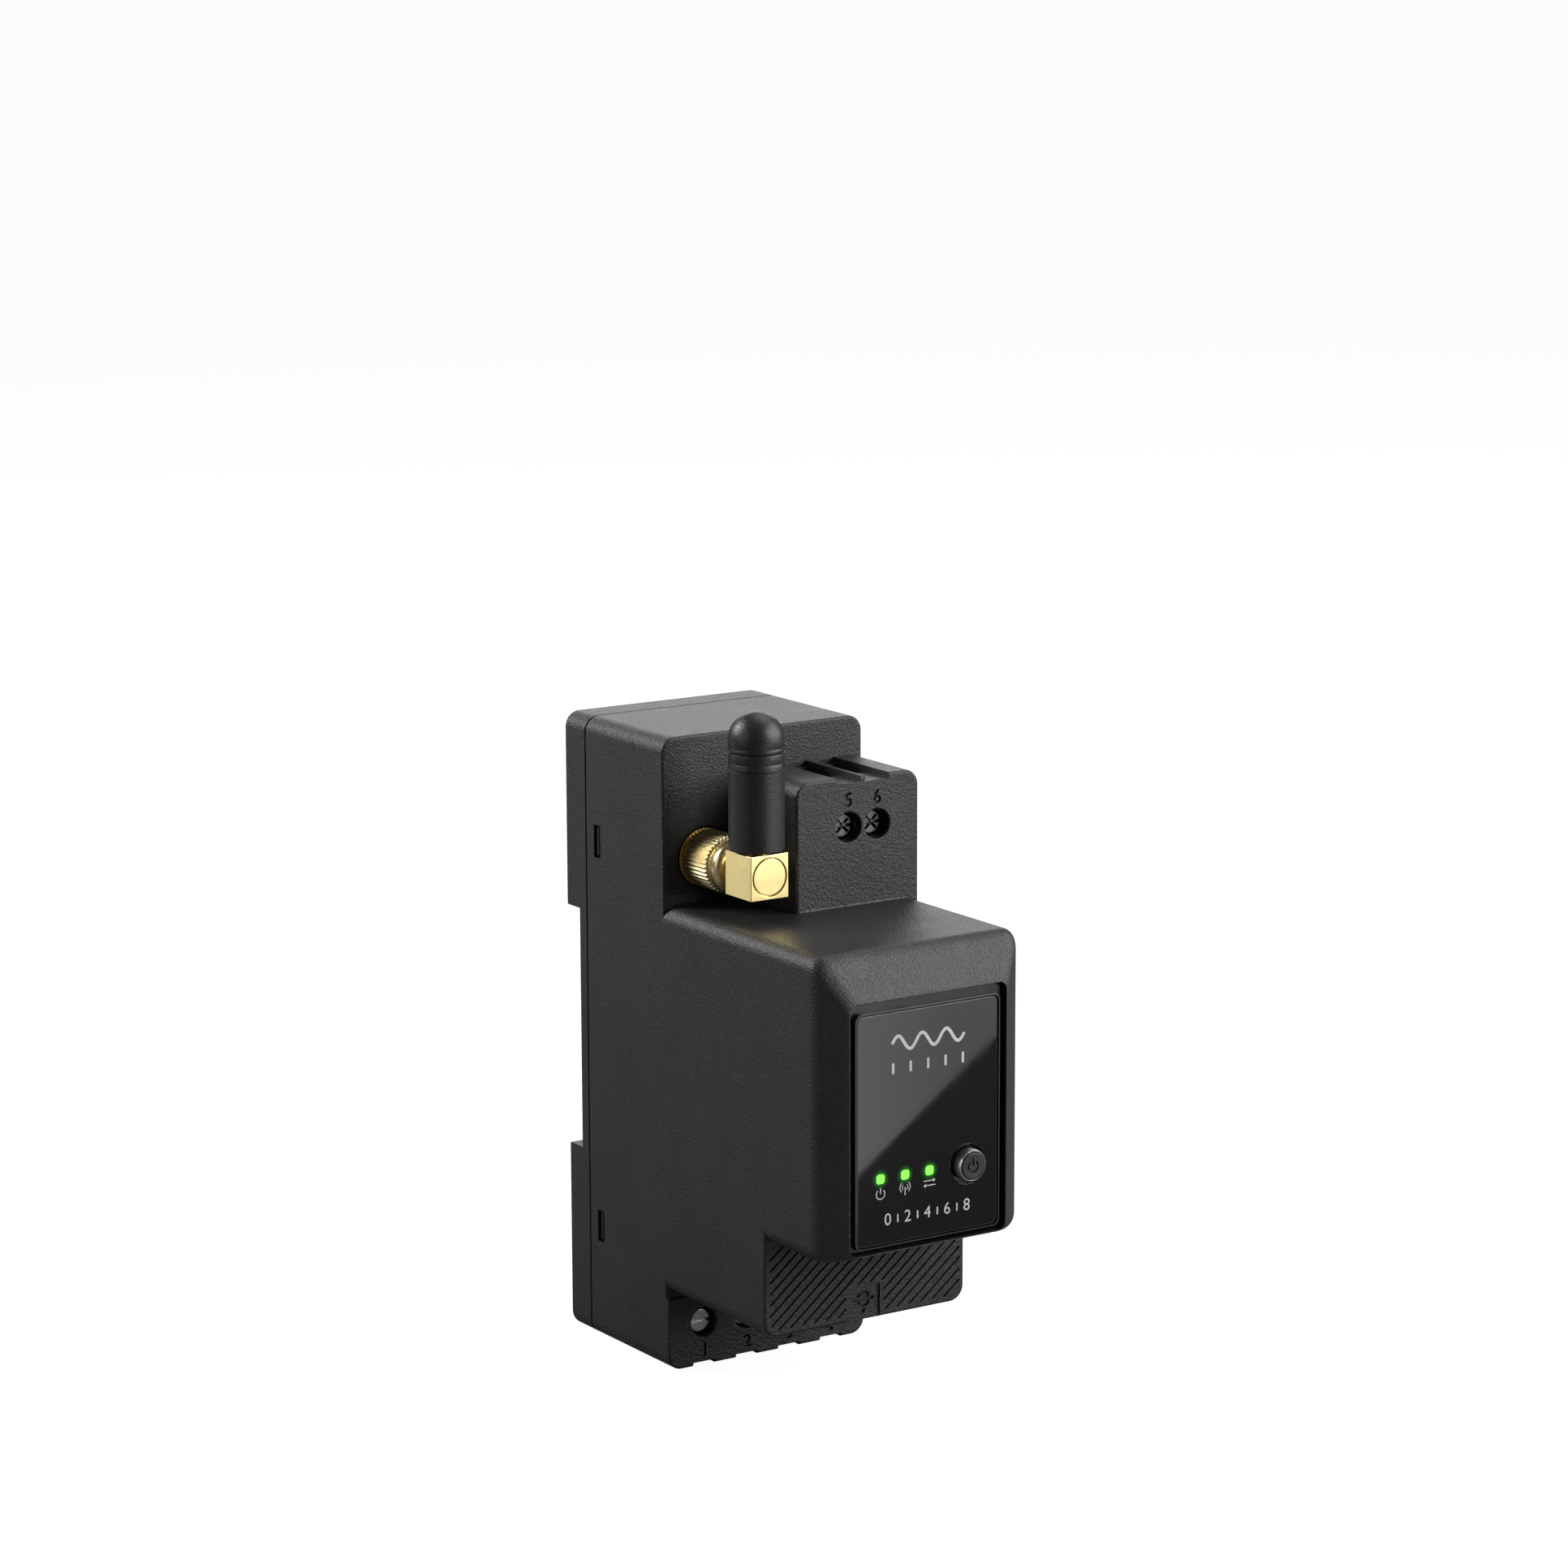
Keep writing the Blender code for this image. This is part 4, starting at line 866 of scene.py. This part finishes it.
def knurled_nut():
    """Straight knurling with tapered ends, a groove and a smooth collar round the neck."""
    x, z = ANTENNA_X, ANTENNA_Z
    rear = NUT_HIGH.y
    front = NUT_LOW.y
    radius = (NUT_HIGH.z - NUT_LOW.z) / 2
    samples = 8
    count = 40 * samples  # forty teeth

    def knurl(outer, depth):
        points = []
        for i in range(count):
            wave = 0.5 - 0.5 * math.cos(2 * math.pi * i / samples)
            reach = outer - depth * wave**1.3
            angle = 2 * math.pi * i / count
            points.append(at_angle(x, z, reach, angle))
        return points

    def plain(outer):
        return circle(x, z, outer, count)

    tooth = knurl(radius, 0.3 * MM)
    worn = knurl(radius - 0.18 * MM, 0.2 * MM)
    end = 0.45 * MM
    middle = rear - 6.9 * MM
    collar = 4.1 * MM
    sections = [
        (plain(radius - 0.75 * MM), rear),
        (knurl(radius - 0.5 * MM, 0.05 * MM), rear - 0.05 * MM),
        (worn, rear - 0.2 * MM),
        (tooth, rear - end),
        (tooth, middle + end),
        (worn, middle + 0.2 * MM),
        (knurl(radius - 0.5 * MM, 0.02 * MM), middle + 0.03 * MM),
        (plain(radius - 0.75 * MM), middle),
        (plain(radius - 0.78 * MM), middle - 0.35 * MM),
        (plain(collar - 0.12 * MM), middle - 0.45 * MM),
        (plain(collar), middle - 0.65 * MM),
        (plain(collar), front + 0.8 * MM),
        (plain(collar - 0.08 * MM), front + 0.5 * MM),
        (plain(collar - 0.35 * MM), front + 0.15 * MM),
        (plain(collar - 0.75 * MM), front),
    ]
    bore = rod("Y", x, z, JACK_BORE, rear + AMPLE, front + 1 * MM)
    neck = 2.3 * MM
    mouth = [(neck, front + 2 * MM), (neck, front + 0.3 * MM), (3.6 * MM, front - AMPLE)]
    steps = cuts(bore, turned("Y", x, z, mouth))
    nut = [loft("Y", *sections)]
    replaced = ["sma_coupling_nut"]
    # The nut takes the darker gold, whose colour paints shade on the knurl.
    piece("knurled_nut", nut, SHADED_GOLD_KNURL, "coupling_nut", replaced, steps, 60)


def elbow():
    """The plated block that turns the joint upwards, with a pocket for its cap."""
    x, z = ANTENNA_X, ANTENNA_Z
    front = CAP_LOW.y
    rear = front + 7.0 * MM
    half = 3.3 * MM
    height = 6.75 * MM
    edge = 0.12 * MM
    box = (x - half, x + half, z - height / 2, z + height / 2)
    body = cushioned(box, (edge,) * 4, rear, front, edge, edge)
    plug = NUT_LOW.y + 1.0 * MM
    thin, thick = 2.0 * MM, 2.9 * MM
    profile = [(thin, rear - AMPLE), (thin, plug + GAP)]
    profile += [(thick, plug + GAP), (thick, plug + 1.4 * MM - GAP)]
    neck = turned("Y", x, z, profile)
    profile = [(2.7 * MM, rear - 0.5 * MM), (2.7 * MM, rear + 0.25 * MM)]
    profile += [(2.45 * MM, rear + 0.5 * MM), (1.9 * MM, rear + 0.5 * MM)]
    ring = turned("Y", x, z, profile)
    stem = rod("Z", x, ROD_Y, 2.0 * MM, z, z + height / 2 + 3.5 * MM)
    pocket = flared_hole(x, z, 3.0 * MM, front, front + 1 * MM, 0.05 * MM, ROUND_STEPS)
    steps = joins(neck, ring, stem) + cuts(pocket)
    piece("elbow_block", [body], GOLD, "antenna", ["antenna_elbow"], steps)
    radius = (CAP_HIGH.x - CAP_LOW.x) / 2
    soft = 0.08 * MM
    profile = [(radius - 0.3 * MM, CAP_LOW.y + 0.015 * MM)]
    profile += [(radius - soft * a, CAP_LOW.y + soft * b) for a, b in quarter(4)[::-1]]
    profile += [(radius, CAP_HIGH.y)]
    disc = turned("Y", x, z, profile)
    piece("elbow_disc", [disc], GOLD, "antenna", ["elbow_cap"])


def grooved(profile_low, profile_high, rings, radius):
    """(radius, height) pairs of a straight side with shallow grooves at some heights."""
    pairs = [(radius, profile_low)]
    for height, depth, half in rings:
        pairs += [
            (radius, height - half),
            (radius - depth, height - half * 0.35),
            (radius - depth, height + half * 0.35),
            (radius, height + half),
        ]
    return [*pairs, (radius, profile_high)]


def antenna_rod():
    """The rubber sleeve and its domed tip, with rings where the mould parts meet."""
    x, y = ANTENNA_X, ROD_Y
    small = 0.18 * MM
    shallow = (0.035 * MM, 0.12 * MM)
    rings = [(44.85 * MM, 0.1 * MM, 0.13 * MM), (45.95 * MM, *shallow)]
    lead = 0.1 * MM  # height of the soft edge where the sleeve and the tip meet
    low, high = SLEEVE_LOW.z, SLEEVE_HIGH.z + lead
    profile = [(ROD_RADIUS - small * a, low + small * b) for a, b in quarter(5)[::-1]]
    profile += grooved(low + small * 1.2, high - lead, rings, ROD_RADIUS)
    profile += [(ROD_RADIUS - 0.02 * MM, high - 0.04 * MM), (ROD_RADIUS - lead, high)]
    bore = rod("Z", x, y, 2.3 * MM, low - AMPLE, high + AMPLE, 48)
    sleeve = ("rubber_sleeve", turned("Z", x, y, profile), "antenna_sleeve", bore)

    low, high = TIP_LOW.z - lead, TIP_HIGH.z
    centre = high - ROD_RADIUS
    profile = [(ROD_RADIUS - lead, low), (ROD_RADIUS - 0.02 * MM, low + 0.04 * MM)]
    profile += grooved(low + lead, centre, [(48.2 * MM, *shallow)], ROD_RADIUS)
    arcs = 24
    for i in range(1, arcs):
        angle = math.pi / 2 * i / arcs
        profile.append(at_angle(0, centre, ROD_RADIUS, angle))
    profile.append((0.12 * MM, high))
    bore = rod("Z", x, y, 1.5 * MM, low - AMPLE, high - 2 * MM, 48)
    tip = ("rubber_tip", turned("Z", x, y, profile), "antenna_tip", bore)
    for name, shape, node, hole in (sleeve, tip):
        piece(name, [shape], RUBBER, "antenna", [node], cuts(hole))


# The front panel.


def tray():
    """The black frame in the recess, with a thin raised lip round the glass."""
    lip_face = TRAY_LOW.y
    groove = -66.7 * MM
    rear = TRAY_HIGH.y
    body = cushioned(grown(TRAY_LOW, TRAY_HIGH), (1.1 * MM,) * 4, rear, groove, 0.1 * MM)
    lip_box = grown(GLASS_LOW, GLASS_HIGH, FINE_GAP + 0.3 * MM)
    lip = cushioned(lip_box, (1.25 * MM,) * 4, rear - GAP, lip_face, 0.12 * MM)
    inner = grown(GLASS_LOW, GLASS_HIGH, FINE_GAP)
    pocket = flared(inner, (1.0 * MM,) * 4, lip_face, GLASS_HIGH.y + GAP, 0.05 * MM)
    through = (GLASS_HIGH.y - AMPLE, rear + AMPLE)
    cut = [rod("Y", BUTTON_X, BUTTON_Z, 2.3 * MM, *through[::-1])]
    side = 0.95 * MM
    for x in LAMP_X:
        cut.append(block((x - side, x + side), through, (LAMP_Z - side, LAMP_Z + side)))
    steps = joins(lip) + cuts(pocket) + [("DIFFERENCE", cut)]
    piece("panel_frame", [body], TRIM_BLACK, "housing", ["panel_tray"], steps)


def glass():
    """The pane with the button's hole; its outer edge is ground, and so paler."""
    face, rear = GLASS_LOW.y, GLASS_HIGH.y
    pane = cushioned(grown(GLASS_LOW, GLASS_HIGH), (0.9 * MM,) * 4, rear, face, 0.16 * MM)
    centre = (BUTTON_X, BUTTON_Z)
    hole = flared_hole(*centre, 3.0 * MM, face, rear + AMPLE, 0.1 * MM, ROUND_STEPS)
    replaced = ["front_panel"]
    obj = piece("glass_pane", [pane], GLASS, "housing", replaced, cuts(hole))
    obj.data.materials.append(GLASS_EDGE)
    middle = Vector((BUTTON_X, face, BUTTON_Z))
    for polygon in obj.data.polygons:
        at_hole = (polygon.center - middle).length < 3.6 * MM
        if abs(polygon.normal.y) < 0.97 and not at_hole:
            polygon.material_index = 1


def lamp_windows():
    """The three lit windows that the print on the glass leaves open."""
    half = 0.71 * MM
    face = GLASS_LOW.y
    for i, x in enumerate(LAMP_X, 1):
        box = (x - half, x + half, LAMP_Z - half, LAMP_Z + half)
        window = cushioned(box, (0.42 * MM,) * 4, face + 0.1 * MM, face - 0.02 * MM, 0.015 * MM)
        piece(f"lamp_window_{i}", [window], LAMP, "housing", ())


def printed(outline):
    face = GLASS_LOW.y
    return prism(outline, "Y", face + 0.05 * MM, face - PRINT_DEPTH)


def panel_print():
    """Generic marks in ink: a wave, five dashes, a sign under each lamp and a numbered scale."""
    outlines = []
    count = 96
    wave = []
    for i in range(count + 1):
        share = i / count
        height = 8.6 * MM + 1.05 * MM * math.sin(share * 6 * math.pi)
        wave.append((-6.3 * MM + 12.75 * MM * share, height))
    outlines.append(stroke(wave, 0.5 * MM))
    for i in range(5):
        x = (-6.1 + i * 3.08) * MM
        outlines.append(stadium((x, 4.3 * MM), (x, 5.55 * MM), 0.42 * MM))

    x, z = LAMP_X[0], -13.45 * MM
    outlines.append(band(x, z, 0.74 * MM, 0.16 * MM, 130, 410))
    outlines.append(stadium((x, z + 0.1 * MM), (x, z + 0.92 * MM), 0.16 * MM))
    x, z = LAMP_X[1], -13.2 * MM
    outlines.append(stadium((x, z - 0.95 * MM), (x, z + 0.1 * MM), 0.17 * MM))
    for radius in (0.5 * MM, 0.9 * MM):
        for angle in (0, 180):
            arc = (angle - 48, angle + 48)
            outlines.append(band(x, z + 0.15 * MM, radius, 0.14 * MM, *arc))
    x, z = LAMP_X[2], -13.1 * MM
    for side in (-1, 1):
        level = z + side * 0.36 * MM
        tip = x + side * 1.1 * MM
        tail = (x - side * 1.0 * MM, level)
        outlines.append(stadium(tail, (tip - side * 0.65 * MM, level), 0.15 * MM))
        back = tip - side * 0.5 * MM
        rise = side * 0.3 * MM
        outlines.append([(back, level - rise), (tip, level), (back, level + rise)])
    shapes = [printed(outline) for outline in outlines]

    scale_z = -17.5 * MM
    for i, text in enumerate(("0", "2", "4", "6", "8")):
        x = (-7.0 + i * 3.5) * MM
        shapes.append(numeral(text, x, scale_z, 1.8 * MM, GLASS_LOW.y, PRINT_DEPTH))
    half = 0.5 * MM
    for i in range(1, 9, 2):
        x = (-7.0 + i * 1.75) * MM
        shapes.append(printed(stadium((x, scale_z - half), (x, scale_z + half), 0.24 * MM)))
    piece("panel_print", shapes, INK, "housing", angle=20)


def button():
    """The dished cap with its sign, in a plated ring."""
    x, z = BUTTON_X, BUTTON_Z
    face = BUTTON_LOW.y
    flange = BUTTON_HIGH.y - 0.6 * MM
    flange_radius = 3.3 * MM
    radius = 2.0 * MM
    rim = 0.16 * MM
    profile = [(0.05 * MM, face + 0.06 * MM), (radius * 0.5, face + 0.05 * MM)]
    profile.append((radius * 0.8, face + 0.025 * MM))
    profile += [(radius - rim * a, face + rim * b) for a, b in quarter(5)[::-1]]
    profile += [(radius, flange), (flange_radius, flange), (flange_radius, BUTTON_HIGH.y)]
    width = 0.24 * MM
    ring = band(x, z - 0.05 * MM, 0.85 * MM, width, 125, 415)
    bar = stadium((x, z + 0.15 * MM), (x, z + 1.05 * MM), width)
    sign = [prism(outline, "Y", face - 0.5 * MM, face + 0.5 * MM) for outline in (ring, bar)]
    steps = [("DIFFERENCE", sign)]
    cap = [turned("Y", x, z, profile)]
    piece("button_cap", cap, BUTTON_GREY, "power_button", ["power_button"], steps)
    outer = (RING_HIGH.x - RING_LOW.x) / 2
    inner = radius + FINE_GAP
    front, rear = RING_LOW.y, RING_HIGH.y
    slope = 0.24 * MM
    soft = 0.04 * MM
    loop = [(outer, front + 2 * slope), (outer - slope, front), (inner + soft, front)]
    loop += [(inner, front + soft), (inner, rear), (outer, rear)]
    collar = [tube("Y", x, z, loop)]
    piece("button_collar", collar, CHROME, "power_button", ["button_ring"])


# Screws, clip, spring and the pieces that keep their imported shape.


def screw(name, node, finish, shank, crossed):
    """A clamp screw with a softly rounded head, and a slot or a deep cross in it."""
    low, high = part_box(node)
    x, z = (low.x + high.x) / 2, (low.z + high.z) / 2
    face, end = low.y, high.y
    head = (high.x - low.x) / 2
    back = face + (1.1 * MM if crossed else 1.4 * MM)
    soft = 0.3 * MM
    point = 0.2 * MM
    profile = [(0.1 * MM, face), (head - soft - 0.2 * MM, face + 0.01 * MM)]
    profile += [(head - soft * a, face + soft * b) for a, b in quarter(5)[::-1]]
    profile += [(head, back), (shank, back), (shank, end - point), (shank - point, end)]
    half = 0.28 * MM
    across = (x - head - AMPLE, x + head + AMPLE)
    cut = [block(across, (face - AMPLE, face + 0.6 * MM), (z - half, z + half))]
    if crossed:
        arm = 1.25 * MM
        for slant in (math.pi / 4, -math.pi / 4):
            reach = Vector((math.cos(slant), math.sin(slant))) * arm
            ends = ((x - reach.x, z - reach.y), (x + reach.x, z + reach.y))
            line = stadium(*ends, 0.5 * MM)
            cut.append(prism(line, "Y", face - AMPLE, face + 0.95 * MM))
    shape = turned("Y", x, z, profile, 64)
    piece(name, [shape], finish, node, [node], cuts(*cut))


def softened(node, name, finish, body, width=0.12 * MM):
    """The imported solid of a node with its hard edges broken."""
    bm = bmesh.new()
    bm.from_mesh(frame["nodes"][node].data)
    bmesh.ops.remove_doubles(bm, verts=bm.verts, dist=WELD)
    flat = math.radians(1)
    bmesh.ops.dissolve_limit(bm, angle_limit=flat, verts=bm.verts, edges=bm.edges)
    mesh = bpy.data.meshes.new(name)
    bm.to_mesh(mesh)
    bm.free()
    obj = linked(name, mesh)
    bevel = obj.modifiers.new("broken_edges", "BEVEL")
    bevel.width = width
    bevel.segments = 3
    bevel.limit_method = "ANGLE"
    bevel.angle_limit = math.radians(40)
    with_modifiers_applied(obj)
    finished(obj, finish, body, [node])


def clip_spring():
    """Round wire wound between the cover's post and the clip, with a closed turn at each end."""
    low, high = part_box("din_clip_spring")
    x, y = (low.x + high.x) / 2, (low.y + high.y) / 2
    wire = 0.22 * MM
    radius = (high.x - low.x) / 2 - wire
    turns = 7
    count = turns * 28
    sides = 10
    closed = 0.09  # share of the wire in each end turn
    bottom, top = low.z + wire, high.z - wire
    rings = []
    for i in range(count + 1):
        share = i / count
        angle = 2 * math.pi * turns * share
        climb = min(max((share - closed) / (1 - 2 * closed), 0), 1)
        pitch = 2.1 * wire * (min(share, closed) + max(share - 1 + closed, 0)) / closed
        height = bottom + pitch + (top - bottom - 4.2 * wire) * climb
        ring = []
        for side in range(sides):
            turn = 2 * math.pi * side / sides
            reach = radius + wire * math.cos(turn)
            ring.append((*at_angle(x, y, reach, angle), height + wire * math.sin(turn)))
        rings.append(ring)

    def add(bm):
        made = [[bm.verts.new(point) for point in ring] for ring in rings]
        faces = [bm.faces.new(made[0][::-1]), bm.faces.new(made[-1])]
        faces += joined_rings(bm, made, made[1:])
        bmesh.ops.recalc_face_normals(bm, faces=faces)

    replaced = ["din_clip_spring"]
    spring = piece("clip_spring", [add], STEEL, "housing", replaced, angle=60)
    spring.modifiers.remove(spring.modifiers["weighted_normals"])
    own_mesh(spring)


def dressed(node, finish):
    """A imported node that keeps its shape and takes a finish."""
    materials = frame["nodes"][node].data.materials
    materials.clear()
    materials.append(finish)


def inner_pieces():
    """The screws, cages and inner solids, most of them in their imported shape."""
    for i in range(1, 5):
        node = f"terminal_screw_{i}"
        screw(f"clamp_screw_{i}", node, STEEL, 1.4 * MM, False)
        node = f"terminal_cage_{i}"
        softened(node, f"clamp_cage_{i}", STEEL, node)
        dressed(f"terminal_bar_{i}", COPPER)
    for i in range(1, 3):
        node = f"rs485_screw_{i}"
        screw(f"data_screw_{i}", node, DARK_STEEL, 0.9 * MM, True)
        node = f"rs485_cage_{i}"
        softened(node, f"data_cage_{i}", STEEL, node, 0.08 * MM)
        dressed(f"rs485_bar_{i}", COPPER)
    softened("din_clip", "rail_clip_slider", CLIP_BLACK, "rail_clip", 0.25 * MM)
    for node, name, width in (
        ("ct_socket", "transformer_sockets", 0.2 * MM),
        ("terminal_block", "mains_clamp_body", 0.1 * MM),
        ("rs485_terminal_block", "data_clamp_body", 0.1 * MM),
    ):
        softened(node, name, TERMINAL_GREY, "housing", width)
    for finish, nodes in (
        (GOLD, ("sma_jack", "sma_jack_nut")),
        (COPPER, ("antenna_radiator",)),
        (CABLE_BLACK, ("coax_pigtail",)),
        (CHIP_BLACK, ("tact_switch", "metering_chip")),
        (TERMINAL_GREY, ("switch_plunger", "board_connector")),
        (CLEAR, ("light_guide",)),
        (LAMP, ("led_1", "led_2", "led_3")),
        (STEEL, ("radio_module",)),
        (TAPE, ("transformer",)),
        (SLEEVE_BLUE, ("bulk_capacitor_1", "bulk_capacitor_2")),
        (VARISTOR_BLUE, ("varistor",)),
        (CERAMIC, ("fuse",)),
        (BOARD, ("ct_board", "display_board", "metering_board", "power_board", "comms_board")),
    ):
        for node in nodes:
            dressed(node, finish)


# Camera, floor and light.


def camera():
    """The photo's view, as fitted to the corners of the case."""
    data = bpy.data.cameras.new("camera")
    data.sensor_width = 36.0
    data.lens = 108.26
    data.clip_start = 0.01
    data.clip_end = 100
    cam = linked("camera", data)
    cam.location = (-0.381199, -0.608627, 0.175442)
    azimuth, pitch, roll = (math.radians(a) for a in (-33.371, 11.061, -0.19))
    level = math.cos(pitch)
    back = Vector((math.sin(azimuth) * level, -math.cos(azimuth) * level, math.sin(pitch)))
    turn = (-back).to_track_quat("-Z", "Y").to_matrix() @ Matrix.Rotation(roll, 3, "Z")
    cam.rotation_euler = turn.to_euler()
    bpy.context.scene.camera = cam


def area_light(name, place, target, size, power):
    data = bpy.data.lights.new(name, "AREA")
    data.shape = "RECTANGLE"
    data.size, data.size_y = size
    data.energy = power
    light = linked(name, data)
    light.location = place
    aim = Vector(target) - Vector(place)
    light.rotation_euler = aim.to_track_quat("-Z", "Y").to_euler()
    return light


def seen_or_not(tree, seen, unseen, output):
    """One shader for what the camera sees and another for every other ray."""
    path = tree.nodes.new("ShaderNodeLightPath")
    mix = tree.nodes.new("ShaderNodeMixShader")
    tree.links.new(path.outputs["Is Camera Ray"], mix.inputs["Fac"])
    tree.links.new(unseen, mix.inputs[1])
    tree.links.new(seen, mix.inputs[2])
    tree.links.new(mix.outputs["Shader"], output)


def glass_card():
    """A bright card on the floor, which the glass reflects as a sheen with a slanting edge."""
    edge_middle = Vector((110 * MM, -218 * MM))
    along = Vector((0.761, -0.649)) * (100 * MM)
    inward = Vector((-0.649, -0.761)) * (62 * MM)
    corners = [edge_middle - along, edge_middle + along]
    corners += [corners[1] + inward, corners[0] + inward]
    low = BOTTOM + 2 * MM
    shape = prism(corners[::-1], "Z", low, low + 0.5 * MM)
    card = linked("glass_card", mesh_from("glass_card", [shape]))
    finish = Finish("card_white", (0.8, 0.8, 0.8), 0.6)
    across = {1: (0.827, 0.563, 0)}
    spread = finish.node("ShaderNodeVectorMath", across, operation="DOT_PRODUCT")
    finish.link(finish.coords, spread.inputs[0])
    bright = finish.ranged(spread.outputs["Value"], -60 * MM, -30 * MM, 1.3, 0.12)
    finish.shader.inputs["Emission Color"].default_value = WHITE
    finish.link(bright, finish.shader.inputs["Emission Strength"])
    card.data.materials.append(finish.material)
    card.visible_camera = False
    card.visible_shadow = False


def floor():
    """A wide pale disc just under the meter, plain white to the camera and dull to other rays."""
    dull_grey = (0.16, 0.16, 0.16)
    finish = Finish("floor_pale", dull_grey, 0.8)
    finish.rough(finish.noise(0.3), *NOISE_SPAN, 0.75, 0.85)
    lit = finish.node("ShaderNodeEmission", {"Strength": 0.94})
    both = finish.node("ShaderNodeAddShader")
    dull = finish.node("ShaderNodeBsdfDiffuse", {"Color": (*dull_grey, 1)})
    finish.link(finish.shader.outputs["BSDF"], both.inputs[0])
    finish.link(lit.outputs["Emission"], both.inputs[1])
    surface = finish.tree.nodes["Material Output"].inputs["Surface"]
    seen_or_not(finish.tree, both.outputs["Shader"], dull.outputs["BSDF"], surface)
    disc = prism(circle(0, 0, 30.0), "Z", BOTTOM - 20 * MM, BOTTOM - 0.02 * MM)
    obj = linked("floor", mesh_from("floor", [disc]))
    obj.data.materials.append(finish.material)


def world():
    """A white surround for the camera, and a faint even light for everything else."""
    made = bpy.data.worlds.new("studio")
    made.use_nodes = True
    bpy.context.scene.world = made
    tree = made.node_tree
    faint = tree.nodes["Background"]
    seen = tree.nodes.new("ShaderNodeBackground")
    for background, strength in ((faint, 0.09), (seen, 0.96)):
        background.inputs["Color"].default_value = WHITE
        background.inputs["Strength"].default_value = strength
    surface = tree.nodes["World Output"].inputs["Surface"]
    seen_or_not(tree, seen.outputs["Background"], faint.outputs["Background"], surface)


def lights():
    """Softboxes all round, and cards at floor level that shine up and aren't seen."""
    middle = (0, -0.03, 0)
    for name, place, size, power in (
        ("top_softbox", (0.3, 0.05, 0.70), (0.55, 0.5), 2.0),
        ("back_softbox", (0.50, 0.76, 0.34), (0.7, 0.35), 2.3),
        ("front_softbox", (0.70, -0.60, 0.38), (1.0, 0.75), 12.8),
        ("facet_softbox", (0.47, -0.76, 0.44), (0.25, 0.25), 0.9),
        ("left_softbox", (-0.42, 0.42, 0.40), (0.2, 0.3), 4.8),
        ("rod_softbox", (-0.55, -0.02, 0.20), (0.3, 0.36), 0.45),
    ):
        area_light(name, place, middle, size, power)
    for name, place, size, power in (
        ("left_card", (-0.25, 0.33), (0.22, 0.3), 0.13),
        ("gold_card", (0.235, -0.48), (0.34, 0.22), 0.55),
    ):
        card = area_light(name, (*place, -0.045), (*place, 1), size, power)
        card.visible_camera = False
    glass_card()


camera()
front_case()
rear_case()
antenna_insert()
knurled_nut()
elbow()
antenna_rod()
tray()
glass()
lamp_windows()
panel_print()
button()
clip_spring()
inner_pieces()
floor()
world()
lights()
bpy.context.scene.view_settings.view_transform = "Standard"
